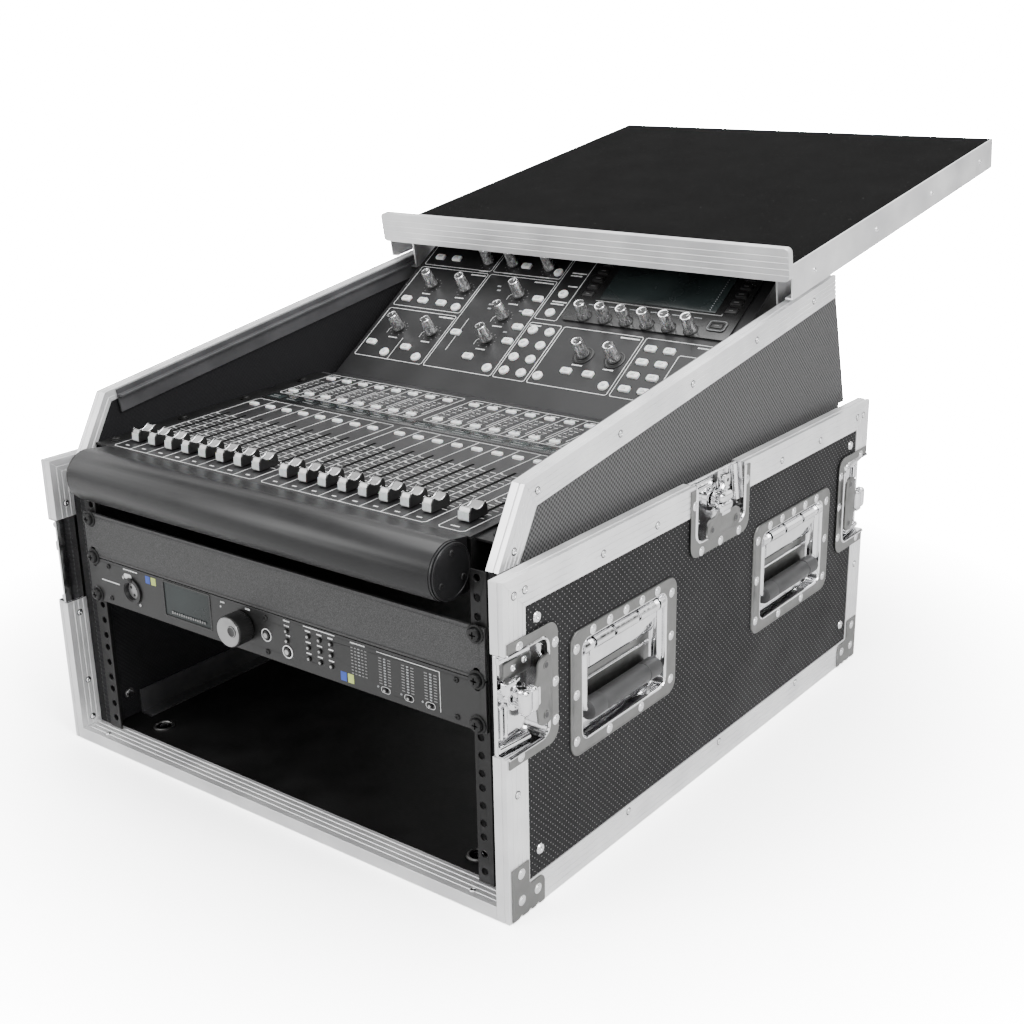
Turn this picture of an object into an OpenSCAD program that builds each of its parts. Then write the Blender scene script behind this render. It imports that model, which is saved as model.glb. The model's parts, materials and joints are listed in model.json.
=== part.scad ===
// Slant-top rack flight case with a 1U signal processor, a blank panel and a mixing
// console. The lids are off and the keyboard shelf is slid to the back.
// Origin: centre of the base, on the ground. +X is the right-hand side, +Y the rear, +Z up.

/* [Case] */
// Width over the edge extrusions
case_w = 546; // [544:1:556]
// Depth of the lower box
case_d = 621; // [615:1:660]
// Height of the lowest rack unit above the ground
rack_z = 16.9; // [15:0.1:20]
// Width of the aluminium edge strips on the side faces
strip_w = 27; // [24:1:32]
// Thickness of the floor board
floor_t = 10.1; // [9:0.1:10.1]

/* [Slanted top] */
// Rise of the top edge, in degrees
slant_deg = 8.7; // [8:0.1:9]
// Height of the front corner of the slanted side
slant_z = 345; // [340:1:352]
// Width of the aluminium strip on the slanted side
slant_strip = 23; // [18:1:26]

/* [Shelf] */
// Length of the sliding shelf
shelf_len = 503; // [480:1:510]
// How far the shelf stands back from its front position
shelf_travel = 420; // [380:1:420]

/* [Console] */
// Half the width of the console body
mixer_hw = 217; // [216:1:218]
// Distance from one channel strip to the next
pitch = 23; // [22:0.1:23.1]
// Travel of a fader
fader_travel = 100; // [80:1:100]

/* [Rack hardware] */
// Radius of a rack hole
rack_hole_r = 3.25; // [3.2:0.05:3.35]

/* [Side hardware] */
// Height of the side handles and side latches above the ground
hardware_z = 163; // [160:1:166]
// Height of the latches on the upright edges
latch_z = 187.5; // [186:0.5:189]

/* [Hidden] */
$fn = 48;

// Colours
laminate = [0.09, 0.09, 0.10];
grey_laminate = [0.30, 0.30, 0.31];
alu = [0.84, 0.84, 0.84];
black_steel = [0.07, 0.07, 0.07];
zinc = [0.62, 0.63, 0.64];
console_grey = [0.16, 0.16, 0.17];
white_key = [0.88, 0.89, 0.88];

// The 19 inch rack standard: unit height, hole heights in a unit, hole columns, panel width
unit_h = 44.45;
hole_z = [6.35, 22.225, 38.1];
hole_span = 465.1;
panel_w = 482.6;
units = 6;

// Case, seen from the front: x is measured from the middle, y from the front face
eps = 0.01;
half_w = case_w / 2;
side_t = 13;
case_h = rack_z + units * unit_h + 4.8;
sheet = 1.8;
mitre_gap = 0.06;
board_in = half_w - side_t + sheet + 0.1;
board_out = half_w - sheet - 0.1;
field_out = half_w - 0.8;
sill_top = floor_t + 0.1 + sheet;
wall_in = 242;
wall_out = 251;
rail_y = 20.3;
rail_t = 2;
plate_t = 3;
plate_y = rail_y - plate_t - 0.1;
processor_unit = 3;
blank_unit = 4;
fit_gap = 0.4;
plate_h = unit_h - 2 * fit_gap;

// Slanted side, in the y-z plane
steep_deg = 60.15;
slant_corner = [56, slant_z];
slant_rear_y = 568;
slant_len = (slant_rear_y - slant_corner[0]) / cos(slant_deg);
slant_rear = [slant_rear_y, slant_z + slant_len * sin(slant_deg)];
steep_len = 70;
slant_foot = [slant_corner[0] - steep_len * cos(steep_deg), slant_z - steep_len * sin(steep_deg)];
slant_heel = [606, case_h - 2];
trim_t = 1.6;

// Shelf, in the plane of the slanted edge: u runs up the slope, v stands off it
shelf_u = 7 + shelf_travel;
shelf_hw = 252.7;
shelf_low = 3.5;
shelf_top = 37;
shelf_board_t = 10;
lip_low = 23;
lip_top = 55;
lip_t = 8;

// Console: the deck and the knob panel each have a frame with u up the slope
deck_y = 33;
deck_z = 302.9;
deck_deg = 1.3;
panel_y = 352;
panel_z = 318;
panel_deg = 33;
panel_low = -14.9;
panel_high = 205;
bend = [panel_y + panel_low * cos(panel_deg), panel_z + panel_low * sin(panel_deg)];
deck_len = (bend[0] - deck_y) / cos(deck_deg) - 0.1;
metal = 2;
roll_y = 10;
roll_z = 282;
roll_r = 24;
tub_front = roll_y + roll_r + 0.2;
tub_rear = 536;

// Channel strips
bank = 8;
bank_x = [-199.6, -4.9];
main_x = 193.5;
fader_u = 33;
slot_u = 28;
slot_len = fader_travel + 10;
button_rows = [170.7, 225.5, 281];
strip_key = [10.5, 6.2];
square_key = [12.5, 7.6];
key_up = 1.9;
key_gap = 0.25;

// Places on the knob panel: x, and u up the slope
knob_at = [
  [-126.5, 173.5], [-93, 174], [-44, 174],
  [-178.5, 129], [-131.5, 129], [-178.5, 59.5], [-132.5, 60],
  [-58.5, 130], [-58.5, 96], [-58.5, 61.5],
  [37.8, 110.5], [62.7, 110.5], [87.6, 110.5], [112.5, 110.5], [137.4, 110.5], [162.3, 110.5],
  [64.5, 60], [101.5, 60]
];
square_keys = [
  [-197, 174], [-173.5, 174.3], [-76, 174.6],
  [-199.5, 104.7], [-176, 104.7], [-149.8, 104.7],
  [-201, 35], [-152, 35], [-103, 66], [-67, 36],
  [-33, 128.5], [-33, 107], [-33, 85.5], [-33, 64.3],
  [57.3, 37], [83.7, 37]
];
grid_x = [132, 153.5];
grid_u = [26, 44.5, 62.7, 81.2];
round_keys = [
  [-127, 101.2], [-174.3, 23.3], [-129.7, 23.4], [-34.5, 24.4], [-31, 170.2],
  [-7, 139.6], [-7, 111.3], [108, 25.4], [29.5, 25]
];
dial_x = [-12.6, 8.8];
dial_u = [25, 44.5, 64.6, 84.2];
round_key_r = 5.4;

knob_r = 6.4;
knob_h = 20;
shaft_r = 3;
shaft_gap = 0.06;
knob_stand = 1.2;

// Processor controls: x, and height above the bottom of the unit
encoder_at = [-29, 24];
encoder_r = 15;
encoder_len = 19;
processor_keys = [
  for (x = [51, 64.3, 77.2], z = [13.6, 23.8, 34]) [x, z],
  for (z = [23.4, 32.6]) [25.3, z],
  for (x = [136.8, 162, 184.6]) [x, 8.3]
];
ringed_keys = [[0, 22.4], [25, 13.1]];
xlr_at = [-180, 21];
display_x = [-133, -72];
display_z = [9.5, 41.5];

// Carrying handles
handle_y = [162.5, 458];
dish_w = 158;
dish_h = 110;
well_w = 124;
well_h = 86;
well_depth = 15;
pin_r = 3.5;
pin_gap = 0.06;
bail_z = 35;
bail_x = field_out - 3;
bail_drop = 57;
grip_r = 9;
grip_len = 104;

// Latches: u is the distance from the edge, v runs along the edge
latch_hw = 51.5;
latch_reach = 66;
latch_open_u = 52;
latch_open_v = 41;
latch_u = 24;
key_plane = half_w + 2.8;
key_t = 2.4;
top_latch_y = 314;

// ---------------------------------------------------------------- helpers

// Moves a shape drawn from the front face to the row's origin
module from_front() {
  translate([0, -case_d / 2, 0]) children();
}

module both_sides() {
  children();
  mirror([1, 0, 0]) children();
}

module on_side(s) {
  mirror([s < 0 ? 1 : 0, 0, 0]) children();
}

// Draws in the y-z plane and extrudes along +X from x
module from_x(x) {
  translate([x, 0, 0]) rotate([90, 0, 90]) children();
}

// Draws in the x-z plane with the extrusion running forwards from y
module from_y(y) {
  translate([0, y, 0]) rotate([90, 0, 0]) children();
}

// Shelf plane: x across, y up the slope, z off the slope
module on_slope() {
  translate([0, slant_corner[0], slant_corner[1]]) rotate([slant_deg, 0, 0]) children();
}

module on_deck() {
  translate([0, deck_y, deck_z]) rotate([deck_deg, 0, 0]) children();
}

module on_panel() {
  translate([0, panel_y, panel_z]) rotate([panel_deg, 0, 0]) children();
}

module rounded(w, h, r) {
  square([w - 2 * r, h], center = true);
  square([w, h - 2 * r], center = true);
  for (sx = [-1, 1], sy = [-1, 1])
    translate([sx * (w / 2 - r), sy * (h / 2 - r)]) circle(r);
}

// Latch positions, in the y-z plane of a side: each opens onto one edge
module at_latch(i) {
  if (i == 0) translate([0, latch_z]) children();
  if (i == 1) translate([top_latch_y, case_h]) rotate(-90) children();
  if (i == 2) translate([case_d, latch_z]) rotate(180) children();
}

// One edge extrusion: u along the edge, v into the face, and the outside of the case at z = side_t
module edge_channel(len, leg, thick, t, inner) {
  difference() {
    union() {
      translate([0, 0, thick - t]) cube([len, leg, t]);
      cube([len, t, thick]);
      cube([len, inner, t]);
    }
    for (i = [1 : 4], z = [-0.4, thick - 0.6])
      translate([-eps, i * leg / 5 + 0.8, z]) cube([len + 2 * eps, 1, 1]);
    translate([-eps, -eps, thick - 5.4]) cube([len + 2 * eps, 0.8, 1.4]);
  }
}

// The same extrusion with its ends cut to a mitre: start and end are the cuts' slopes
module mitred_channel(len, leg, thick, t, inner, start, end) {
  a = mitre_gap;
  b = len - mitre_gap;
  reach = leg + 1;
  intersection() {
    edge_channel(len, leg, thick, t, inner);
    translate([0, 0, -1]) linear_extrude(thick + 2)
      polygon([[a - start, -1], [b + end, -1], [b - end * reach, reach], [a + start * reach, reach]]);
  }
}

// ---------------------------------------------------------------- case

module floor_panel() {
  from_front() color(black_steel)
    translate([-(half_w - side_t - 0.1), sheet + 0.1, 0])
      cube([2 * (half_w - side_t - 0.1), case_d - 2 * sheet - 0.2, floor_t]);
}

// The hole in the wall behind one latch, in the y-z plane
module latch_cut(grow) {
  translate([-1, -latch_open_v - grow])
    square([latch_open_u + 1 + grow, 2 * (latch_open_v + grow)]);
}

module side_panel(s) {
  low = sheet + 0.1;
  from_front() on_side(s) color(laminate) difference() {
    union() {
      from_x(board_in) linear_extrude(board_out - board_in)
        translate([low, low]) square([case_d - 2 * low, case_h - 2 * low]);
      from_x(board_in) linear_extrude(field_out - board_in)
        translate([strip_w + 0.3, strip_w + 0.3])
          square([case_d - 2 * strip_w - 0.6, case_h - 2 * strip_w - 0.6]);
      side_battens();
    }
    from_x(board_in - eps) linear_extrude(side_t) {
      for (i = [0 : 2]) at_latch(i) latch_cut(1.5);
    }
    for (y = handle_y)
      from_x(wall_out - 1) linear_extrude(side_t + 12)
        translate([y, hardware_z]) square([well_w + 3.2, well_h + 3.2], center = true);
  }
}

// Battens that space the inner slanted side from the outer side panel
module side_battens() {
  x = wall_out + 0.1;
  wide = half_w - side_t - 0.1 - x;
  low = sill_top + 0.1;
  high = case_h - 14;
  for (y = [strip_w - 4.7, case_d - strip_w - 17.3])
    translate([x, y, low]) cube([wide, 22, high - low]);
  for (z = [low, high - 22])
    translate([x, 40, z]) cube([wide, case_d - 80, 22]);
}

module edge_frames() {
  run = [case_d, case_h, case_d, case_h];
  corner = [[0, 0], [case_d, 0], [case_d, case_h], [0, case_h]];
  from_front() color(alu) both_sides() difference() {
    from_x(half_w - side_t)
      for (i = [0 : 3])
        translate(corner[i]) rotate(90 * i)
          mitred_channel(run[i], strip_w, side_t, sheet, strip_w - 1, 1, 1);
    from_x(half_w - side_t - 1) linear_extrude(side_t + 2)
      for (i = [0 : 2]) at_latch(i) latch_cut(1.4);
  }
}

module sill() {
  span = half_w - side_t - 0.1;
  top = floor_t + 0.1;
  difference() {
    union() {
      translate([-span, 0, 0]) cube([2 * span, sheet, top + sheet]);
      translate([-span, 0, top]) cube([2 * span, strip_w, sheet]);
    }
    for (i = [1 : 4])
      translate([-span - eps, i * strip_w / 5 + 0.8, top + sheet - 0.6])
        cube([2 * span + 2 * eps, 1, 1]);
  }
}

module cross_sills() {
  from_front() color(alu) {
    sill();
    translate([0, case_d, 0]) mirror([0, 1, 0]) sill();
  }
}

// Outline of the slanted side: sunk by g along the edges that carry a trim
module slant_outline(g) {
  low = sill_top + 0.1;
  turn = (steep_deg - slant_deg) / 2;
  tip = slant_corner + g * [sin(turn + slant_deg), -cos(turn + slant_deg)] / cos(turn);
  polygon([
    [rail_y + rail_t + 0.1, low],
    [rail_y + rail_t + 0.1, slant_foot[1] - 1],
    slant_foot + g * [sin(steep_deg), -cos(steep_deg)] + [0, -0.2],
    tip,
    slant_rear + g * [sin(slant_deg), -cos(slant_deg)],
    slant_heel,
    [case_d - strip_w, case_h - 2],
    [case_d - strip_w, low]
  ]);
}

module slant_panels() {
  from_front() color(grey_laminate) both_sides()
    from_x(wall_in) linear_extrude(wall_out - wall_in) slant_outline(trim_t + 0.1);
}

module slant_trims() {
  thick = wall_out - wall_in + 2 * (trim_t + 0.1);
  turn = tan((steep_deg - slant_deg) / 2);
  from_front() color(alu) both_sides() from_x(wall_in - trim_t - 0.1) {
    translate(slant_rear) rotate(180 + slant_deg)
      mitred_channel(slant_len, slant_strip, thick, trim_t, 11, 0, turn);
    translate(slant_corner) rotate(180 + steep_deg)
      mitred_channel(steep_len, slant_strip, thick, trim_t, 11, turn, 1 / tan(steep_deg));
  }
}

module rack_rail() {
  low = sill_top + 0.1;
  high = case_h - 5;
  difference() {
    union() {
      translate([226, rail_y, low]) cube([15.8, rail_t, high - low]);
      translate([239.8, rail_y, low]) cube([rail_t, 15, high - low]);
    }
    for (i = [0 : units - 1], z = hole_z)
      from_y(rail_y + rail_t + 1) translate([hole_span / 2, rack_z + i * unit_h + z, 0])
        cylinder(h = rail_t + 2, r = rack_hole_r);
  }
}

module rack_rails() {
  from_front() color(black_steel) both_sides() rack_rail();
}

// Angles on the inner walls: along the floor, under the console's ears and beside the shelf
module support_angles() {
  from_front() color([0.25, 0.25, 0.26]) both_sides() {
    translate([wall_in - 2.2, 58, floor_t + 0.1]) cube([2, 290, 26]);
    translate([wall_in - 16, 58, floor_t + 0.1]) cube([15, 290, 2]);
    on_deck() {
      translate([mixer_hw + 4.5, 14, -6.6]) cube([wall_in - mixer_hw - 4.7, 298, 2]);
      translate([wall_in - 2.2, 14, -28]) cube([2, 298, 22]);
    }
    on_slope() {
      translate([wall_in - 4.2, 12, -24]) cube([2, slant_len - 24, 23]);
      translate([wall_in - 10.2, 12, -8]) cube([7, slant_len - 24, 2]);
    }
  }
}

// ---------------------------------------------------------------- pressed steel hardware

module handle_dish() {
  difference() {
    union() {
      from_x(field_out) linear_extrude(1.2) rounded(dish_w, dish_h, 12);
      from_x(field_out + 1.2 - well_depth) linear_extrude(well_depth)
        square([well_w + 2.4, well_h + 2.4], center = true);
    }
    from_x(field_out + 2.4 - well_depth) linear_extrude(well_depth)
      square([well_w, well_h], center = true);
    translate([bail_x, 0, bail_z]) rotate([90, 0, 0])
      cylinder(h = dish_w, r = pin_r + pin_gap, center = true);
  }
}

module latch_plate() {
  difference() {
    translate([3, -latch_hw]) union() {
      square([latch_reach - 15, 2 * latch_hw]);
      translate([0, 12]) square([latch_reach - 3, 2 * latch_hw - 24]);
      for (v = [12, 2 * latch_hw - 12]) translate([latch_reach - 15, v]) circle(12);
    }
    translate([-1, -latch_open_v]) square([latch_open_u + 1, 2 * latch_open_v]);
  }
}

module latch_well() {
  difference() {
    translate([0.2, -latch_open_v - 1.2]) square([latch_open_u + 1, 2 * latch_open_v + 2.4]);
    translate([-1, -latch_open_v]) square([latch_open_u + 1, 2 * latch_open_v]);
  }
}

module latch_dish() {
  back = half_w - 11;
  translate([0, 0, half_w]) linear_extrude(1.2) latch_plate();
  translate([0, 0, back]) linear_extrude(11.1) latch_well();
  translate([0, 0, back]) difference() {
    linear_extrude(1.2)
      translate([0.2, -latch_open_v - 1.2]) square([latch_open_u + 1, 2 * latch_open_v + 2.4]);
    translate([latch_u, 0, -1]) cylinder(h = 4, r = pin_r + pin_gap);
  }
  translate([latch_u, 0, back]) difference() {
    cylinder(h = 4, r = 12);
    translate([0, 0, -1]) cylinder(h = 6, r = pin_r + pin_gap);
  }
}

module corner_plate() {
  linear_extrude(1.2) difference() {
    union() {
      translate([3, 0.5]) square([22, 47]);
      translate([3, 0.5]) square([36, 25]);
      translate([39, 19.5]) circle(6);
      translate([38, 0.5]) square([7, 19]);
    }
    for (y = [14, 26, 36]) translate([y, 0]) circle(2.2);
  }
}

module pressed_dishes() {
  from_front() color(zinc) both_sides() {
    for (y = handle_y) translate([0, y, hardware_z]) handle_dish();
    from_x(0) for (i = [0 : 2]) at_latch(i) latch_dish();
    from_x(half_w) {
      corner_plate();
      translate([case_d, 0]) mirror([1, 0]) corner_plate();
    }
  }
}

// A dome-headed rivet standing on the plane z = 0
module rivet(r) {
  cylinder(h = 0.5, r = r);
  translate([0, 0, 0.5]) cylinder(h = 0.7, r1 = r, r2 = r * 0.6);
}

module rivets_at(points, r) {
  for (p = points) translate(p) rivet(r);
}

module side_rivets() {
  strip_mid = strip_w / 2;
  run = [for (i = [1 : 3]) i * case_d / 4 + 14];
  post = [strip_mid, case_d - strip_mid];
  translate([0, 0, half_w]) {
    rivets_at([for (y = run) [y, strip_mid + 7]], 2.8);
    rivets_at([for (y = [130, 210, 430, 510]) [y, case_h - strip_mid - 4]], 2.8);
    rivets_at([for (y = post, z = [case_h - 14, 110]) [y, z]], 2.8);
    rivets_at([[27, case_h - 13.5], [case_d - 27, case_h - 13.5]], 2.8);
  }
  translate([0, 0, half_w + 1.2]) {
    for (i = [0 : 2]) at_latch(i)
      rivets_at([for (s = [-1, 1]) each [[17, s * 45.5], [62, s * 33]], [62, 0]], 3.2);
    for (p = [[14.5, 40], [14.5, 16], [35.5, 15.8]]) {
      translate(p) rivet(3.4);
      translate([case_d - p[0], p[1]]) rivet(3.4);
    }
  }
  translate([0, 0, field_out])
    for (y = [41, case_d - 41], z = [case_h - 40, 49]) translate([y, z]) rivet(4.6);
  translate([0, 0, field_out + 1.2]) for (y = handle_y) translate([y, hardware_z]) {
    rivets_at([for (i = [-2 : 2]) [i * 24, dish_h / 2 - 6]], 3.2);
    rivets_at([for (sy = [-1, 1]) [sy * 24, 6 - dish_h / 2]], 3.2);
    rivets_at([for (sy = [-1, 1], z = [-41, 0, 40]) [sy * (dish_w / 2 - 8), z]], 3.2);
  }
}

// Bolt through an inner wall, and a ringed bolt in the floor, near the open front
module inner_bolts() {
  translate([wall_in - 0.1, 45.4, 37.2]) rotate([0, -90, 0]) {
    cylinder(h = 1, r = 5.8);
    translate([0, 0, 1]) cylinder(h = 2.2, r1 = 4.2, r2 = 2.8);
  }
  translate([200, 51.8, floor_t + 0.1]) {
    difference() {
      cylinder(h = 1.6, r = 10.5);
      translate([0, 0, 0.6]) cylinder(h = 2, r = 7.5);
    }
    translate([0, 0, 0.5]) cylinder(h = 1.4, r1 = 4, r2 = 2.6);
  }
}

module case_rivets() {
  from_front() color(zinc) both_sides() {
    inner_bolts();
    from_x(0) side_rivets();
    from_x(wall_out + trim_t + 0.1) {
      for (u = [14, 128, 242, 356, 470])
        translate(slant_corner) rotate(slant_deg) translate([u, -11.5]) rivet(2.6);
      translate(slant_corner) rotate(180 + steep_deg) translate([50, 11.5]) rivet(2.6);
    }
  }
}

module pan_screw(y) {
  from_y(y) {
    translate([0, 0, -14]) cylinder(h = 14, r = 2.8);
    cylinder(h = 1.4, r = 8);
    translate([0, 0, 1.4]) cylinder(h = 1.6, r = 6);
    translate([0, 0, 3]) cylinder(h = 1, r1 = 6, r2 = 3.6);
  }
}

module rack_screws() {
  from_front() color(black_steel) both_sides() {
    for (i = [processor_unit, blank_unit], z = [hole_z[0], hole_z[2]])
      translate([hole_span / 2, 0, rack_z + i * unit_h + z]) pan_screw(plate_y - 0.05);
    on_deck() for (u = [22, 104, 186, 268])
      translate([229, u, -2.2]) {
        cylinder(h = 1.2, r = 5.6);
        translate([0, 0, 1.2]) cylinder(h = 1.8, r = 4);
      }
  }
}

module rack_plate(unit) {
  from_y(rail_y - 0.1) translate([0, rack_z + unit * unit_h + unit_h / 2, 0])
    linear_extrude(plate_t) difference() {
      square([panel_w, plate_h], center = true);
      for (sx = [-1, 1], z = [hole_z[0], hole_z[2]])
        translate([sx * hole_span / 2, z - unit_h / 2]) circle(3.4);
      children();
    }
}

module blank_panel() {
  from_front() color([0.17, 0.17, 0.18]) rack_plate(blank_unit);
}

// ---------------------------------------------------------------- signal processor

module at_unit() {
  translate([0, 0, rack_z + processor_unit * unit_h]) children();
}

module processor_chassis() {
  wide = 436;
  deep = 240;
  high = unit_h - 3;
  y = rail_y + 0.1;
  from_front() at_unit() color(black_steel) translate([-wide / 2, y, 1.5]) {
    difference() {
      cube([wide, deep, high - 1.4]);
      translate([1.2, 1.2, 1.2]) cube([wide - 2.4, deep - 2.4, high]);
      for (x = [0 : 3]) translate([60 + x * 34, deep + 1, 20])
        rotate([90, 0, 0]) cylinder(h = 4, r = 11.8);
      translate([0, -2, 0]) cube([wide, 4, high]);
    }
    translate([0, 0, high - 1.2]) cube([wide, deep, 1.2]);
  }
}

module key_spot(p) {
  translate([p[0], p[1] - unit_h / 2]) children();
}

module processor_face() {
  from_front() color(console_grey) rack_plate(processor_unit) {
    key_spot(encoder_at) circle(shaft_r + shaft_gap);
    key_spot(xlr_at) circle(12);
    for (p = processor_keys) key_spot(p) circle(2.2);
    for (p = ringed_keys) key_spot(p) circle(4.2);
    translate([display_x[0], display_z[0] - unit_h / 2])
      square([display_x[1] - display_x[0], display_z[1] - display_z[0]]);
  }
}

module processor_display() {
  from_front() at_unit() color([0.10, 0.11, 0.12])
    translate([display_x[0] + 0.1, plate_y + 0.3, display_z[0] + 0.1])
      cube([display_x[1] - display_x[0] - 0.2, 2.4, display_z[1] - display_z[0] - 0.2]);
}

module xlr_socket(depth) {
  difference() {
    union() {
      translate([0, 0, -depth]) cylinder(h = depth, r = 11.6);
      cylinder(h = 1.2, r = 13);
    }
    translate([0, 0, -10]) cylinder(h = 12, r = 8.6);
  }
  for (a = [30, 150, 270]) rotate(a) translate([4.6, 0, -10.5]) cylinder(h = 6, r = 1.2);
}

module processor_sockets() {
  from_front() at_unit() color(black_steel) {
    from_y(plate_y - 0.1) translate(xlr_at) xlr_socket(22);
    for (x = [0 : 3])
      translate([60 + x * 34 - 218, rail_y + 240.2, 21.5]) rotate([-90, 0, 0]) xlr_socket(20);
  }
}

module processor_board() {
  from_front() at_unit() color([0.05, 0.25, 0.15]) {
    translate([-205, 60, 6]) cube([285, 150, 1.6]);
    translate([-60, 30, 5]) cube([260, 1.6, 34]);
    translate([110, 110, 6]) cube([95, 120, 28]);
  }
}

module processor_knob() {
  from_front() at_unit() color(black_steel) from_y(plate_y - 0.8) translate(encoder_at) {
    difference() {
      union() {
        cylinder(h = encoder_len - 1.5, r = encoder_r);
        translate([0, 0, encoder_len - 1.5])
          cylinder(h = 1.5, r1 = encoder_r, r2 = encoder_r - 1.5);
      }
      translate([7, 3, encoder_len + 7]) sphere(9);
    }
    translate([0, 0, -9]) cylinder(h = 9, r = shaft_r);
  }
}

module processor_buttons() {
  from_front() at_unit() color([0.2, 0.2, 0.2]) from_y(plate_y) {
    for (p = processor_keys) translate([p[0], p[1], -5]) cylinder(h = 6.6, r = 2);
    for (p = ringed_keys) translate([p[0], p[1], -5]) cylinder(h = 6.4, r = 4);
  }
}

// ---------------------------------------------------------------- mixing console

// Outline of the tub: sunk by g below the top panels
module tub_outline(g) {
  turn = (panel_deg - deck_deg) / 2;
  half = (panel_deg + deck_deg) / 2;
  top = [panel_y + panel_high * cos(panel_deg), panel_z + panel_high * sin(panel_deg)];
  polygon([
    [tub_front, roll_z - roll_r + 0.6],
    [tub_rear, roll_z],
    [tub_rear, top[1] - 4],
    top + g * [sin(panel_deg), -cos(panel_deg)],
    bend + g * [sin(half), -cos(half)] / cos(turn),
    [tub_front, deck_z - g]
  ]);
}

module mixer_tub() {
  wall = 2;
  ear = wall_in - trim_t - mixer_hw - 0.3;
  from_front() color(black_steel) {
    difference() {
      from_x(-mixer_hw) linear_extrude(2 * mixer_hw) tub_outline(metal + 0.2);
      from_x(-mixer_hw + wall) linear_extrude(2 * (mixer_hw - wall)) polygon([
        [tub_front + wall, roll_z - roll_r + 0.6 + wall],
        [tub_rear - wall, roll_z + wall],
        [tub_rear - wall, 500],
        [tub_front + wall, 500]
      ]);
    }
    both_sides() on_deck()
      translate([mixer_hw - 1, 6, -4.4]) cube([ear + 1, deck_len - 10, 2]);
  }
}

module mixer_roll() {
  from_front() color(black_steel) {
    from_x(-mixer_hw + 3) linear_extrude(2 * mixer_hw - 6) {
      translate([roll_y, roll_z]) circle(roll_r);
      polygon([
        [roll_y, roll_z - roll_r], [deck_y, roll_z - roll_r],
        [deck_y, deck_z], [roll_y, roll_z + roll_r]
      ]);
    }
    both_sides() from_x(mixer_hw - 2.9) {
      linear_extrude(2) translate([roll_y, roll_z]) circle(roll_r - 0.4);
      for (a = [90, 210, 330])
        translate([roll_y, roll_z]) rotate(a) translate([15, 0, 2]) cylinder(h = 1, r = 2.6);
    }
  }
}

module strip_centres() {
  for (x0 = bank_x, i = [0 : bank - 1]) translate([x0 + i * pitch, 0]) children();
}

module fader_panel() {
  from_front() on_deck() color(console_grey) translate([0, 0, -metal])
    linear_extrude(metal) difference() {
      translate([-mixer_hw, 0.2]) square([2 * mixer_hw, deck_len - 0.2]);
      strip_centres() {
        translate([-1.4, slot_u]) square([2.8, slot_len]);
        for (u = button_rows) translate([0, u])
          square([strip_key[0] + 2 * key_gap, strip_key[1] + 2 * key_gap], center = true);
      }
      translate([main_x - 1.4, slot_u]) square([2.8, slot_len]);
    }
}

module all_square_keys() {
  for (p = square_keys) translate(p) children();
  for (x = grid_x, u = grid_u) translate([x, u]) children();
}

module all_round_keys() {
  for (p = round_keys) translate(p) children();
  for (x = dial_x, u = dial_u) translate([x, u]) children();
}

module knob_panel() {
  from_front() on_panel() color(console_grey) translate([0, 0, -metal])
    linear_extrude(metal) difference() {
      translate([-mixer_hw, panel_low]) square([2 * mixer_hw, panel_high - panel_low]);
      for (p = knob_at) translate(p) circle(shaft_r + shaft_gap);
      all_square_keys()
        square([square_key[0] + 2 * key_gap, square_key[1] + 2 * key_gap], center = true);
      all_round_keys() circle(round_key_r + key_gap);
    }
}

// Raised frame round the screen: the encoders stand in its lower edge
module mixer_screen() {
  from_front() on_panel() color([0.05, 0.07, 0.07]) translate([0, 0, 0.1]) {
    linear_extrude(2) difference() {
      translate([108, 153]) rounded(194, 100, 6);
      for (i = [10 : 15]) translate(knob_at[i]) circle(knob_r + 1.4);
      soft_key_spots() square([13, 7.4], center = true);
    }
    translate([41, 136, 2]) cube([136, 63, 0.6]);
  }
}

module soft_key_spots() {
  for (x = [24, 192], i = [0 : 4]) translate([x, 142 + i * 11.6]) children();
  translate([187, 120]) children();
}

module mixer_board() {
  from_front() color([0.05, 0.25, 0.15]) {
    on_deck() {
      translate([-205, 8, -34]) cube([410, 280, 1.6]);
      strip_centres() translate([-5, slot_u - 5, -21]) cube([10, slot_len + 10, 12]);
      translate([main_x - 5, slot_u - 5, -21]) cube([10, slot_len + 10, 12]);
    }
    translate([-200, 436, roll_z + 8]) cube([120, 80, 45]);
    on_panel() translate([-205, 4, -24]) cube([410, 190, 1.6]);
  }
}

module fader_cap(w) {
  len = 22;
  high = 12;
  difference() {
    translate([-w / 2, -len / 2, 1.2]) cube([w, len, high - 1.2]);
    translate([-w, 1, high + 8.5]) rotate([0, 90, 0]) cylinder(h = 2 * w, r = 12);
    translate([-w, -len / 2, high - 4]) rotate([20, 0, 0]) translate([0, -12, -8])
      cube([2 * w, 12, 24]);
  }
  translate([-0.9, -2.5, -6]) cube([1.8, 5, 8]);
}

module channel_faders() {
  from_front() on_deck() color(white_key) strip_centres()
    translate([0, fader_u, 0]) fader_cap(10.5);
}

module main_fader() {
  from_front() on_deck() color(white_key) translate([main_x, fader_u, 0]) fader_cap(12.5);
}

module channel_buttons() {
  from_front() on_deck() color(white_key) strip_centres()
    for (u = button_rows) translate([0, u, -3]) linear_extrude(3 + key_up)
      square(strip_key, center = true);
}

module master_buttons() {
  from_front() on_panel() color(white_key) {
    all_square_keys() translate([0, 0, -3]) linear_extrude(3 + key_up)
      square(square_key, center = true);
    all_round_keys() translate([0, 0, -3]) cylinder(h = 3 + key_up, r = round_key_r);
    soft_key_spots() translate([0, 0, 1.3]) linear_extrude(2.2)
      square([12.4, 6.8], center = true);
  }
}

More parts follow.
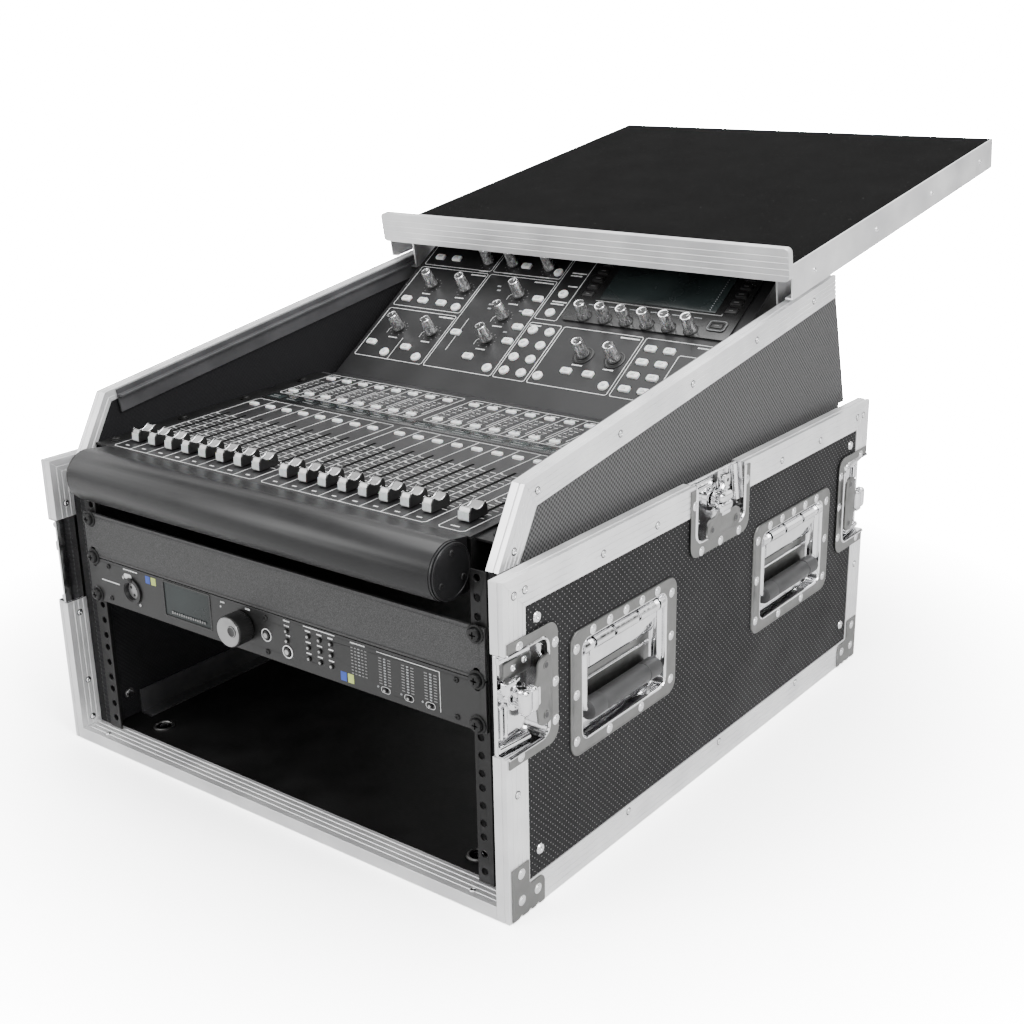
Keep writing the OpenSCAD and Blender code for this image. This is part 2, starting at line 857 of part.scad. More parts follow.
module console_knob(i) {
  from_front() on_panel() color(black_steel) translate(knob_at[i]) {
    translate([0, 0, knob_stand]) cylinder(h = 3, r = knob_r);
    translate([0, 0, knob_stand + 3]) cylinder(h = knob_h - 4, r1 = knob_r, r2 = knob_r - 0.8);
    translate([0, 0, knob_stand + knob_h - 1]) cylinder(h = 1, r = knob_r - 1);
    translate([0, 0, -9]) cylinder(h = 11, r = shaft_r);
  }
}

// ---------------------------------------------------------------- handles, latches and shelf

module handle(s, i) {
  arm_y = well_w / 2 - 6;
  from_front() on_side(s) color(zinc)
    translate([bail_x, handle_y[i], hardware_z + bail_z]) {
      rotate([90, 0, 0]) cylinder(h = well_w + 2.2, r = pin_r, center = true);
      for (sy = [-1, 1]) translate([0, sy * arm_y, -bail_drop]) cylinder(h = bail_drop, r = pin_r);
      translate([0, 0, -bail_drop]) rotate([90, 0, 0]) {
        cylinder(h = 2 * arm_y, r = pin_r, center = true);
        difference() {
          cylinder(h = grip_len, r = grip_r, center = true);
          cylinder(h = grip_len + 2, r = pin_r + 0.1, center = true);
        }
      }
    }
}

module latch_key(s, i) {
  back = half_w - 11;
  from_front() on_side(s) color(zinc) from_x(0) at_latch(i) translate([latch_u, 0, 0]) {
    translate([0, 0, back + 0.2]) cylinder(h = 5, r = pin_r);
    translate([0, 0, back + 4.3]) cylinder(h = key_plane + key_t - back - 4.3, r = 9);
    translate([-27, -6, back + 5]) cube([27, 12, 2.4]);
    translate([-27, -6, back + 5]) cube([2.4, 12, 7]);
    translate([0, 0, key_plane]) linear_extrude(key_t) difference() {
      union() {
        circle(11);
        translate([20, 0]) rounded(20, 58, 8);
        translate([8, -10]) square([10, 20]);
      }
      for (v = [-21, 21]) translate([21, v]) circle(2.6);
    }
  }
}

module shelf_board() {
  from_front() on_slope() color(black_steel)
    translate([-(shelf_hw - 1.7), shelf_u + 0.2, shelf_top - shelf_board_t])
      cube([2 * (shelf_hw - 1.7), shelf_len, shelf_board_t]);
}

// A side channel of the shelf, with the hook that runs under the guide on the inner wall
module shelf_channel() {
  translate([shelf_hw - 1.6, shelf_u, shelf_low]) cube([1.6, shelf_len, shelf_top - shelf_low]);
  translate([shelf_hw - 8.2, shelf_u, shelf_low]) cube([8.2, shelf_len, 1.6]);
  translate([shelf_hw - 24, shelf_u, shelf_top - shelf_board_t - 1.7])
    cube([24, shelf_len, 1.6]);
  translate([shelf_hw - 24, shelf_u + 12, -12])
    cube([1.8, 62, shelf_top - shelf_board_t + 11]);
  translate([shelf_hw - 24, shelf_u + 12, -12]) cube([8, 62, 1.8]);
  for (i = [0 : 3]) translate([shelf_hw, shelf_u + 45 + i * 140, 19])
    rotate([0, 90, 0]) rivet(2.8);
}

module shelf_frame() {
  lip_w = 2 * shelf_hw + 2;
  from_front() on_slope() color(alu) {
    both_sides() shelf_channel();
    difference() {
      translate([0, shelf_u + 0.1, (lip_low + lip_top) / 2]) rotate([90, 0, 0])
        linear_extrude(lip_t) rounded(lip_w, lip_top - lip_low, 5);
      for (i = [1 : 4])
        translate([-lip_w, shelf_u - lip_t - 1, lip_low + i * 6]) cube([2 * lip_w, 1.7, 1]);
    }
  }
}

// ---------------------------------------------------------------- nodes

floor_panel();
side_panel(-1);  // side_panel_left
side_panel(1);  // side_panel_right
edge_frames();
cross_sills();
slant_panels();
slant_trims();
rack_rails();
support_angles();
pressed_dishes();
case_rivets();
rack_screws();
blank_panel();
processor_chassis();
processor_face();
processor_display();
processor_sockets();
processor_board();
processor_knob();
processor_buttons();
mixer_tub();
mixer_roll();
fader_panel();
knob_panel();
mixer_screen();
mixer_board();
channel_faders();
main_fader();
channel_buttons();
master_buttons();
console_knob(0);  // bus_knob_1
console_knob(1);  // bus_knob_2
console_knob(2);  // bus_knob_3
console_knob(3);  // preamp_knob_1
console_knob(4);  // preamp_knob_2
console_knob(5);  // gate_knob
console_knob(6);  // comp_knob
console_knob(7);  // eq_knob_high
console_knob(8);  // eq_knob_mid
console_knob(9);  // eq_knob_low
console_knob(10);  // screen_knob_1
console_knob(11);  // screen_knob_2
console_knob(12);  // screen_knob_3
console_knob(13);  // screen_knob_4
console_knob(14);  // screen_knob_5
console_knob(15);  // screen_knob_6
console_knob(16);  // monitor_knob_1
console_knob(17);  // monitor_knob_2
handle(1, 0);  // handle_front_right
handle(1, 1);  // handle_rear_right
handle(-1, 0);  // handle_front_left
handle(-1, 1);  // handle_rear_left
latch_key(1, 0);  // latch_key_front_right
latch_key(1, 1);  // latch_key_top_right
latch_key(1, 2);  // latch_key_rear_right
latch_key(-1, 0);  // latch_key_front_left
latch_key(-1, 1);  // latch_key_top_left
latch_key(-1, 2);  // latch_key_rear_left
shelf_board();
shelf_frame();
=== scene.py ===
"""Looks of a slant-top rack case with a signal processor and a mixing console.

The CAD nodes are the frame. Boards, extrusions, plates and chassis keep their CAD shape and get
materials and rounded edges; pressed steel, fasteners, knobs, keys, fader caps and printing are
drawn here, in millimetres, on frames that are read from the CAD nodes.
"""
import json
import math
import random

import bmesh
import bpy
from mathutils import Matrix, Vector


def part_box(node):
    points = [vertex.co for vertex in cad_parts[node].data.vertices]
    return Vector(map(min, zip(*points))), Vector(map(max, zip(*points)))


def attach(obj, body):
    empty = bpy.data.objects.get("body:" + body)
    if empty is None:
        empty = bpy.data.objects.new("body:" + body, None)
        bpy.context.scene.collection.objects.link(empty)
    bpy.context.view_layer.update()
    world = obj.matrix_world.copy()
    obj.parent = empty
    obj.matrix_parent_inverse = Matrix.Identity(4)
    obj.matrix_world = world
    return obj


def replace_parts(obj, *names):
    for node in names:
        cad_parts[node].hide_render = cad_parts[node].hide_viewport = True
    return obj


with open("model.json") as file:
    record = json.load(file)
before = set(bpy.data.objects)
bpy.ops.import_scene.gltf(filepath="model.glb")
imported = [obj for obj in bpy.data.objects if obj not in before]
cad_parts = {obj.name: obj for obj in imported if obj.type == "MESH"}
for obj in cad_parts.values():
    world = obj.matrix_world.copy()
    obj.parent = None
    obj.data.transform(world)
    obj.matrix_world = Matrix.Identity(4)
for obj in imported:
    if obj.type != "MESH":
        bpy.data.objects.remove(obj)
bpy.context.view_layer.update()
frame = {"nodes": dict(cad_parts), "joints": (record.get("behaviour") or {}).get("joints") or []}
NODES = frame["nodes"]
JOINTS = {j["name"]: j for j in frame["joints"]}
MM = 0.001
random.seed(7)


# ------------------------------------------------------------------ frames read from the CAD

def surface(node, up, shift=0.0):
    """Frame on a CAD node's top face: x across, y up the slope from the low edge, z outwards."""
    z = Vector(up).normalized()
    x = Vector((1, 0, 0))
    y = z.cross(x)
    points = [v.co for v in NODES[node].data.vertices]
    top = max(p.dot(z) for p in points)
    low = min(p.dot(y) for p in points if p.dot(z) > top - 1e-5)
    turn = Matrix((x, y, z)).transposed().to_4x4()
    return Matrix.Translation(y * (low + shift * MM) + z * top) @ turn


def side_frame(y, z, x):
    """Frame on the right-hand side: x to the rear, y up, z out of the side. Its mirror is the left."""
    turn = Matrix(((0, 0, 1), (1, 0, 0), (0, 1, 0))).to_4x4()
    return Matrix.Translation(Vector((x, y, z))) @ turn


def front_frame(x, y, z):
    """Frame on a front face: x across, y up, z out of the front."""
    return Matrix.Translation((x, y, z)) @ Matrix(((1, 0, 0), (0, 0, -1), (0, 1, 0))).to_4x4()


def in_mm(place):
    return Matrix.Scale(1 / MM, 4) @ place @ Matrix.Scale(MM, 4)


def flipped(place):
    return Matrix.Diagonal((-1, 1, 1, 1)) @ place


def islands(node):
    """Boxes (low, high) of a node's separate solids."""
    mesh = NODES[node].data
    root = {}

    def find(k):
        while root[k] != k:
            root[k] = root[root[k]]
            k = root[k]
        return k

    key = [tuple(round(c * 1e5) for c in v.co) for v in mesh.vertices]
    for k in key:
        root[k] = k
    for face in mesh.polygons:
        first = find(key[face.vertices[0]])
        for v in face.vertices[1:]:
            root[find(key[v])] = first
    groups = {}
    for k, v in zip(key, mesh.vertices):
        groups.setdefault(find(k), []).append(v.co)
    boxes = [(Vector(map(min, *g)), Vector(map(max, *g))) for g in groups.values()]
    return sorted(boxes, key=lambda b: tuple(b[0]))


DECK = surface("fader_panel", -Vector(JOINTS["channel_button_press"]["axis"]), -0.2)
PANEL = surface("knob_panel", JOINTS["bus_knob_1_turn"]["axis"], 14.9)
SLIDE = Vector(JOINTS["shelf_slide"]["axis"])
SHELF = surface("shelf_board", SLIDE.cross(Vector((1, 0, 0))))
FACE_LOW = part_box("processor_face")[0]
FACE = front_frame(0, FACE_LOW.y, FACE_LOW.z - 0.4 * MM)
SIDE_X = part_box("edge_frames")[1].x
FRONT_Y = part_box("edge_frames")[0].y
REAR_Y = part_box("edge_frames")[1].y


# ------------------------------------------------------------------ drawing in millimetres

def arc(radius, start, stop, steps, centre=(0, 0)):
    """Points on an arc; angles in degrees."""
    turn = [math.radians(start + (stop - start) * i / steps) for i in range(steps + 1)]
    return [(centre[0] + radius * math.cos(a), centre[1] + radius * math.sin(a)) for a in turn]


def rounded(w, h, r, z=0.0, at=(0, 0), steps=5):
    """A rounded rectangle as a ring of points."""
    points = []
    for i, (sx, sy) in enumerate(((1, 1), (-1, 1), (-1, -1), (1, -1))):
        centre = (at[0] + sx * (w / 2 - r), at[1] + sy * (h / 2 - r))
        points += arc(r, 90 * i, 90 * i + 90, steps, centre)
    return [Vector((p[0], p[1], z)) for p in points]


def disc(r, z=0.0, at=(0, 0), steps=24):
    return [Vector((p[0], p[1], z)) for p in arc(r, 0, 360, steps, at)[:-1]]


def plus(r, w, z, at=(0, 0), steps=24):
    """The outline of a cross recess with arms w wide."""
    ring = []
    for i in range(steps):
        a = 2 * math.pi * i / steps
        arm = w / 2 / max(1e-6, min(abs(math.sin(a)), abs(math.cos(a))))
        reach = min(r, max(arm, w / 2))
        ring.append(Vector((at[0] + reach * math.cos(a), at[1] + reach * math.sin(a), z)))
    return ring


class Shape:
    """A mesh being drawn; paint is the number of the material for the faces that come next."""

    def __init__(self, *materials):
        self.bm = bmesh.new()
        self.materials = materials
        self.paint = 0
        self.place = Matrix()

    def skin(self, rings, caps=True, loop=False, paints=None):
        """Joins rings of equally many points with quads, and closes the ends."""
        made = [[self.bm.verts.new(self.place @ Vector(p)) for p in ring] for ring in rings]
        pairs = list(zip(made, made[1:])) + ([(made[-1], made[0])] if loop else [])
        for k, (a, b) in enumerate(pairs):
            for i in range(len(a)):
                j = (i + 1) % len(a)
                face = self.bm.faces.new((a[i], a[j], b[j], b[i]))
                face.material_index = paints[k] if paints else self.paint
        if caps and not loop:
            self.bm.faces.new(made[0][::-1]).material_index = self.paint
            self.bm.faces.new(made[-1]).material_index = self.paint
        return made

    def slab(self, w, h, r, low, high, at=(0, 0), edge=0.3, steps=5):
        """A rounded plate with a softened upper edge."""
        self.skin([
            rounded(w, h, r, low, at, steps),
            rounded(w, h, r, high - edge, at, steps),
            rounded(w - 0.6 * edge, h - 0.6 * edge, r - 0.3 * edge, high - 0.3 * edge, at, steps),
            rounded(w - 2 * edge, h - 2 * edge, max(r - edge, 0.05), high, at, steps),
        ])

    def turned(self, profile, at=(0, 0), steps=24):
        """A body of revolution about z: profile is a list of (radius, height)."""
        self.skin([disc(max(r, 0.02), z, at, steps) for r, z in profile])

    def bar(self, p, q, width, low, high):
        """A thin straight bar from p to q, such as a printed line."""
        p, q = Vector(p), Vector(q)
        side = Vector((p.y - q.y, q.x - p.x)).normalized() * width / 2
        base = [p + side, p - side, q - side, q + side]
        self.skin([[Vector((c.x, c.y, z)) for c in base] for z in (low, high)])

    def path(self, points, width, low, high, closed=False):
        """A printed line through points, with mitred corners."""
        n = len(points)
        outer, inner = [], []
        for i, p in enumerate(points):
            a = Vector(points[i - 1] if closed or i else points[0])
            b = Vector(points[(i + 1) % n] if closed or i < n - 1 else points[-1])
            p = Vector(p)
            into = (p - a).normalized() if (p - a).length else (b - p).normalized()
            out = (b - p).normalized() if (b - p).length else into
            mid = (into + out).normalized()
            off = Vector((-mid.y, mid.x)) * width / 2 / max(0.3, mid.dot(out))
            outer.append(p + off)
            inner.append(p - off)
        section = [[(outer[i], low), (outer[i], high), (inner[i], high), (inner[i], low)]
                   for i in range(n)]
        rings = [[Vector((c.x, c.y, z)) for c, z in ring] for ring in section]
        self.skin(rings, loop=closed)

    def tube(self, points, r, steps=10, loop=False):
        """A round bar through points in space."""
        rings = []
        up = Vector((0.31, 0.17, 0.93))
        n = len(points)
        for i, p in enumerate(points):
            a = points[i - 1] if i or loop else points[i]
            b = points[(i + 1) % n] if i < n - 1 or loop else points[i]
            along = (Vector(b) - Vector(a)).normalized()
            u = along.cross(up).normalized()
            v = along.cross(u)
            rings.append([Vector(p) + r * (math.cos(t) * u + math.sin(t) * v)
                          for t in (2 * math.pi * k / steps for k in range(steps))])
        self.skin(rings, loop=loop)

    def piece(self, name, body, place=Matrix(), angle=35, bevel=0.0):
        """Makes the object, in the row's frame, riding on a CAD body."""
        self.bm.transform(place @ Matrix.Scale(MM, 4))
        bmesh.ops.recalc_face_normals(self.bm, faces=self.bm.faces[:])
        mesh = bpy.data.meshes.new(name)
        self.bm.to_mesh(mesh)
        self.bm.free()
        for face in mesh.polygons:
            face.use_smooth = True
        mesh.set_sharp_from_angle(angle=math.radians(angle))
        for m in self.materials:
            mesh.materials.append(m)
        obj = bpy.data.objects.new(name, mesh)
        bpy.context.scene.collection.objects.link(obj)
        if bevel:
            round_edges(obj, bevel)
        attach(obj, body)
        return obj


def round_edges(obj, width, segments=2):
    """Softens sharp edges so that they catch the light."""
    bevel = obj.modifiers.new("edges", "BEVEL")
    bevel.width = width * MM
    bevel.segments = segments
    bevel.limit_method = "ANGLE"
    bevel.angle_limit = math.radians(40)
    bevel.harden_normals = True


# ------------------------------------------------------------------ materials

class Wiring:
    """A node material being wired up on object coordinates, in millimetres."""

    def __init__(self, name, colour, rough, metal=0.0, **sockets):
        self.mat = bpy.data.materials.new(name)
        self.mat.use_nodes = True
        self.tree = self.mat.node_tree
        self.shader = self.tree.nodes["Principled BSDF"]
        self.shader.inputs["Base Color"].default_value = (*colour, 1)
        self.shader.inputs["Roughness"].default_value = rough
        self.shader.inputs["Metallic"].default_value = metal
        for key, value in sockets.items():
            self.shader.inputs[key.replace("_", " ")].default_value = value
        coord = self.tree.nodes.new("ShaderNodeTexCoord").outputs["Object"]
        self.mm = self.vector("SCALE", coord, scale=1 / MM)

    def feed(self, socket, value):
        if isinstance(value, bpy.types.NodeSocket):
            self.tree.links.new(value, socket)
        elif value is not None:
            socket.default_value = value

    def vector(self, operation, a, b=None, scale=None):
        node = self.tree.nodes.new("ShaderNodeVectorMath")
        node.operation = operation
        self.feed(node.inputs[0], a)
        if b is not None:
            self.feed(node.inputs[1], b)
        if scale is not None:
            self.feed(node.inputs["Scale"], scale)
        return node.outputs["Value" if operation in ("LENGTH", "DOT_PRODUCT") else "Vector"]

    def math(self, operation, a, b=None):
        node = self.tree.nodes.new("ShaderNodeMath")
        node.operation = operation
        self.feed(node.inputs[0], a)
        self.feed(node.inputs[1], b)
        return node.outputs[0]

    def axis(self, vector, weights):
        return self.vector("DOT_PRODUCT", vector, weights)

    def span(self, value, low, high, a=0.0, b=1.0):
        """Maps value from low..high to a..b, held at the ends."""
        node = self.tree.nodes.new("ShaderNodeMapRange")
        for i, v in enumerate((value, low, high, a, b)):
            self.feed(node.inputs[i], v)
        return node.outputs[0]

    def noise(self, size, detail=3.0, stretch=(1, 1, 1)):
        """Noise whose grains are about size millimetres."""
        node = self.tree.nodes.new("ShaderNodeTexNoise")
        where = self.vector("MULTIPLY", self.mm, stretch)
        self.feed(node.inputs["Vector"], where)
        node.inputs["Scale"].default_value = 1 / size
        node.inputs["Detail"].default_value = detail
        return node.outputs[0]

    def blend(self, share, a, b):
        node = self.tree.nodes.new("ShaderNodeMix")
        node.data_type = "RGBA"
        self.feed(node.inputs[0], share)
        for socket, value in ((node.inputs[6], a), (node.inputs[7], b)):
            self.feed(socket, value if isinstance(value, bpy.types.NodeSocket) else (*value, 1))
        return node.outputs[2]

    def bump(self, height, depth, strength=1.0):
        """Bump whose height is depth millimetres at 1."""
        node = self.tree.nodes.new("ShaderNodeBump")
        node.inputs["Strength"].default_value = strength
        node.inputs["Distance"].default_value = depth * MM
        self.feed(node.inputs["Height"], height)
        self.tree.links.new(node.outputs[0], self.shader.inputs["Normal"])
        return node

    def set(self, name, value):
        self.feed(self.shader.inputs[name], value)
        return self

    def dots(self, u, v, pitch, radius, soft=0.35):
        """1 on round dots at a square pitch, 0 between them."""
        cell = []
        for w in (u, v):
            part = self.math("FRACT", self.math("DIVIDE", w, pitch))
            cell.append(self.math("POWER", self.math("SUBTRACT", part, 0.5), 2.0))
        away = self.math("MULTIPLY", self.math("SQRT", self.math("ADD", *cell)), pitch)
        return self.span(away, radius * (1 + soft), radius * (1 - soft))


def satin(name, colour, rough, metal=0.0, grain=0.6, depth=0.02, spread=0.08, **sockets):
    """Painted or moulded surface: fine grain, uneven gloss and slight changes of tone."""
    w = Wiring(name, colour, rough, metal, **sockets)
    fine = w.noise(grain)
    broad = w.noise(38, 4)
    w.bump(fine, depth)
    w.set("Roughness", w.span(broad, 0.3, 0.7, rough - spread, rough + spread))
    tone = [tuple(min(1, c * k) for c in colour) for k in (0.82, 1.18)]
    w.set("Base Color", w.blend(w.span(broad, 0.35, 0.65), *tone))
    return w


BOARD_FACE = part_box("side_panel_right")[1].x / MM - 1.6  # the studs are on the outer skin only


def dimpled_laminate():
    """Black laminate with small raised diamonds in diagonal rows, whose tops are painted light grey as a
    painted highlight.
    """
    w = Wiring("dimpled_laminate", (0.012, 0.012, 0.013), 0.42)
    along = w.axis(w.mm, (0, 1, 1))
    across = w.axis(w.mm, (0, 1, -1))
    outside = w.math("GREATER_THAN", w.math("ABSOLUTE", w.axis(w.mm, (1, 0, 0))), BOARD_FACE)
    stud_relief_and_highlight = w.math("MULTIPLY", w.dots(along, across, 6.2, 0.62), outside)
    grit = w.noise(0.9, 4)
    height = w.math("ADD", w.math("MULTIPLY", grit, 0.55), stud_relief_and_highlight)
    w.bump(height, 0.22)
    base = w.blend(w.span(grit, 0.42, 0.70), (0.004, 0.004, 0.0042), (0.017, 0.017, 0.018))
    # the studs are painted light grey over the black: painted highlight of their raised tops
    w.set("Base Color", w.blend(stud_relief_and_highlight, base, (0.26, 0.26, 0.26)))
    w.set("Roughness", w.span(w.noise(60), 0.3, 0.7, 0.5, 0.62))
    w.set("Specular IOR Level", 0.16)
    return w.mat


def woven_laminate():
    """Grey woven-look laminate outside, black on the face that looks into the case."""
    w = Wiring("woven_laminate", (0.1, 0.1, 0.1), 0.6, Specular_IOR_Level=0.2)
    y, z = w.axis(w.mm, (0, 1, 0)), w.axis(w.mm, (0, 0, 1))
    rib = [w.math("SINE", w.math("MULTIPLY", c, 2 * math.pi / 4.6)) for c in (y, z)]
    weave = w.math("MULTIPLY", *rib)
    fleck = w.noise(1.1, 5)
    height = w.math("ADD", w.math("MULTIPLY", weave, 0.5), fleck)
    w.bump(height, 0.2)
    cloth = w.blend(w.span(height, 0.1, 1.0), (0.022, 0.022, 0.023), (0.13, 0.13, 0.13))
    inside = w.math("LESS_THAN", w.math("ABSOLUTE", w.axis(w.mm, (1, 0, 0))), 250.5)
    w.set("Base Color", w.blend(inside, cloth, (0.010, 0.010, 0.011)))
    return w.mat


def extrusion(name="extrusion"):
    """Satin anodised aluminium: die lines along the length, light smudges and small scratches."""
    w = Wiring(name, (0.80, 0.80, 0.80), 0.34, 0.6)
    lines = w.noise(0.5, 2, (1, 0.02, 1))
    smudge = w.noise(45, 5)
    scratch = w.noise(5, 6, (1, 0.3, 3))
    w.bump(w.math("ADD", w.math("MULTIPLY", lines, 0.6), scratch), 0.02)
    w.set("Base Color", w.blend(w.span(smudge, 0.35, 0.7), (0.80, 0.80, 0.81), (0.95, 0.95, 0.95)))
    w.set("Roughness", w.span(smudge, 0.3, 0.7, 0.28, 0.44))
    return w.mat


def plated(name, colour, rough, wear=0.1):
    """Zinc or chrome plate with faint ripples from pressing and fine scratches."""
    w = Wiring(name, colour, rough, 1.0)
    ripple = w.noise(14, 2)
    scratch = w.noise(2.5, 6, (1, 5, 1))
    w.bump(w.math("ADD", ripple, w.math("MULTIPLY", scratch, 0.06)), 0.28)
    w.set("Roughness", w.span(scratch, 0.35, 0.75, rough, rough + wear))
    w.set("Base Color", w.blend(w.span(ripple, 0.3, 0.7),
                                tuple(c * 0.85 for c in colour), colour))
    return w.mat


def felt():
    """Black felt: short fibres that catch light at a flat angle, and a little lint."""
    w = Wiring("felt", (0.010, 0.010, 0.010), 0.95, Sheen_Weight=0.01, Sheen_Roughness=0.5)
    w.set("Specular IOR Level", 0.04)
    fibre = w.noise(0.7, 6, (1, 0.6, 1))
    w.bump(fibre, 0.5)
    lint = w.span(w.noise(2.2, 2), 0.735, 0.76)
    base = w.blend(w.span(w.noise(50), 0.3, 0.7), (0.0022, 0.0022, 0.0022), (0.0042, 0.0042, 0.0042))
    w.set("Base Color", w.blend(lint, base, (0.09, 0.09, 0.09)))
    return w.mat


def speckled():
    """Dark grey powder coat with light specks."""
    w = Wiring("speckled_coat", (0.05, 0.05, 0.05), 0.5)
    speck = w.noise(0.55, 2)
    w.bump(speck, 0.12)
    w.set("Base Color", w.blend(w.span(speck, 0.45, 0.72), (0.016, 0.016, 0.0165), (0.085, 0.085, 0.085)))
    return w.mat


def screen_glass():
    """Dark display under glass, a little lighter and greener in broad patches."""
    w = Wiring("screen_glass", (0.012, 0.018, 0.018), 0.2, Specular_IOR_Level=0.3)
    glow = w.noise(70, 1)
    w.set("Base Color", w.blend(w.span(glow, 0.35, 0.65), (0.008, 0.011, 0.011), (0.024, 0.032, 0.032)))
    w.set("Roughness", w.span(w.noise(25, 4), 0.3, 0.7, 0.16, 0.3))
    return w.mat


def key_white():
    """Translucent white key top: slightly uneven light through silicone."""
    w = Wiring("key_white", (0.80, 0.82, 0.81), 0.38, Subsurface_Weight=0.15,
               Subsurface_Scale=0.002)
    patch = w.noise(2.6, 3)
    w.set("Base Color", w.blend(w.span(patch, 0.3, 0.7), (0.74, 0.76, 0.755), (0.93, 0.94, 0.93)))
    w.bump(w.noise(0.5), 0.02)
    return w.mat


def knob_metal():
    """Dark silver moulding with light and dark streaks along its height painted into its colour: painted
    highlights of the flutes, which also give a fine relief.
    """
    w = Wiring("knob_silver", (0.42, 0.42, 0.43), 0.28, 0.9)
    streak_relief_and_highlight = w.noise(1.1, 2, (1, 0.3, 0.2))
    # light streaks painted into the colour: painted highlights along the flutes
    w.set("Base Color", w.blend(w.span(streak_relief_and_highlight, 0.35, 0.65), (0.30, 0.30, 0.305), (0.88, 0.88, 0.88)))
    w.set("Roughness", w.span(w.noise(3), 0.3, 0.7, 0.2, 0.38))
    w.bump(streak_relief_and_highlight, 0.02)
    return w.mat


MAT = {
    "laminate": dimpled_laminate(),
    "weave": woven_laminate(),
    "extrusion": extrusion(),
    "dull_plate": plated("dull_zinc", (0.21, 0.21, 0.205), 0.30, 0.12),
    "plate": plated("zinc_plate", (0.44, 0.44, 0.44), 0.16, 0.12),
    "chrome": plated("chrome", (0.86, 0.86, 0.87), 0.05, 0.08),
    "felt": felt(),
    "speckled": speckled(),
    "screen": screen_glass(),
    "key": key_white(),
    "knob": knob_metal(),
    "ply": satin("painted_ply", (0.005, 0.005, 0.005), 0.55, grain=2.5, depth=0.12,
                 Specular_IOR_Level=0.2).mat,
    "steel": satin("powder_coat", (0.008, 0.008, 0.008), 0.4, grain=0.5, depth=0.05,
                   Specular_IOR_Level=0.3).mat,
    "grey_steel": satin("grey_paint", (0.06, 0.06, 0.063), 0.42, grain=0.6, depth=0.04).mat,
    "roll": satin("roll_coat", (0.008, 0.008, 0.0085), 0.36, grain=0.45, depth=0.03, spread=0.03,
                  Specular_IOR_Level=0.35).mat,
    "deck": satin("console_coat", (0.011, 0.011, 0.0115), 0.42, grain=0.4, depth=0.02, spread=0.04,
                  Specular_IOR_Level=0.35).mat,
    "frame": satin("screen_frame", (0.010, 0.010, 0.010), 0.25, grain=1.2, depth=0.01).mat,
    "plastic": satin("black_plastic", (0.009, 0.009, 0.009), 0.4, grain=0.7, depth=0.02).mat,
    "rubber": satin("rubber", (0.035, 0.035, 0.036), 0.48, grain=1.0, depth=0.05).mat,
    "board": satin("circuit_board", (0.02, 0.10, 0.05), 0.4, grain=3.0, depth=0.2).mat,
    "cap": satin("cap_silver", (0.42, 0.42, 0.42), 0.3, 0.5, grain=0.5, depth=0.02).mat,
    "print": satin("print_white", (0.86, 0.87, 0.87), 0.6, grain=0.4, depth=0.01).mat,
    "faint": satin("print_grey", (0.22, 0.22, 0.22), 0.6, grain=0.4, depth=0.01).mat,
    "blue": satin("mark_blue", (0.03, 0.08, 0.42), 0.45).mat,
    "lime": satin("mark_lime", (0.55, 0.66, 0.16), 0.45).mat,
    "grey_metal": satin("brushed_grey", (0.30, 0.30, 0.30), 0.34, 0.7, grain=0.4, depth=0.015).mat,
    "lamp": satin("lamp_dim", (0.32, 0.33, 0.34), 0.3).mat,
}

CAD_LOOKS = {
    "laminate": (("side_panel_left", "side_panel_right"), 0.0),
    "weave": (("slant_panels",), 0.0),
    "ply": (("floor_panel",), 0.5),
    "extrusion": (("edge_frames", "cross_sills", "slant_trims", "shelf_frame"), 0.25),
    "steel": (("rack_rails", "processor_chassis", "mixer_tub"), 0.3),
    "roll": (("mixer_roll",), 0.3),
    "grey_steel": (("support_angles",), 0.3),
    "speckled": (("blank_panel",), 0.4),
    "plastic": (("processor_face", "processor_sockets"), 0.3),
    "deck": (("fader_panel", "knob_panel"), 0.15),
    "frame": (("mixer_screen",), 0.25),
    "screen": (("processor_display",), 0.2),
    "felt": (("shelf_board",), 0.8),
    "board": (("processor_board", "mixer_board"), 0.0),
    "dull_plate": (("pressed_dishes", "case_rivets"), 0.0),
}


def dress_cad():
    """Gives the CAD nodes that stay their materials and softened edges."""
    for look, (names, width) in CAD_LOOKS.items():
        for name in names:
            obj = NODES[name]
            obj.data.materials.clear()
            obj.data.materials.append(MAT[look])
            if width:
                weld = obj.modifiers.new("weld", "WELD")
                weld.merge_threshold = 1e-6
                round_edges(obj, width)


# ------------------------------------------------------------------ pressed steel and fasteners

def prism(shape, points, low, high):
    """A flat plate with any outline."""
    shape.skin([[Vector((p[0], p[1], z)) for p in points] for z in (low, high)])


def dome(shape, r, high, at=(0, 0), base=0.0, washer=0.0):
    """A domed head with the small pit of a drive rivet."""
    if washer:
        shape.turned([(r + washer, base), (r + washer, base + 0.25), (r, base + 0.45), (0, base + 0.5)],
                     at, 20)
    cap = [(r * math.cos(a), base + 0.2 + (high - 0.2) * math.sin(a))
           for a in (math.radians(15 * i) for i in range(5))]
    shape.turned([(r, base)] + cap + [(0.32 * r, base + 0.95 * high), (0.2 * r, base + 0.72 * high),
                                      (0, base + 0.7 * high)], at, 20)


def screw_head(shape, r, low, high, at=(0, 0)):
    """A pan head with a cross recess."""
    steps = 24
    rise = high - low
    rings = [disc(r, low, at, steps), disc(r, low + 0.45 * rise, at, steps),
             disc(0.86 * r, low + 0.85 * rise, at, steps), disc(0.6 * r, high, at, steps),
             plus(0.52 * r, 0.24 * r, high, at, steps),
             plus(0.4 * r, 0.16 * r, low + 0.35 * rise, at, steps)]
    shape.skin(rings)


INNER_WALL = 0.242  # fasteners closer to the middle than this are inside the rack bay


def rivet_shadow_and_dirt_ring(s, r):
    """A dark ring under a rivet head: painted shadow of the gap round its edge, and dirt; its material is
    number 2.
    """
    kept = s.paint
    s.paint = 2
    s.turned([(r + 0.7, 0), (r + 0.6, 0.15), (0, 0.15)], steps=20)
    s.paint = kept


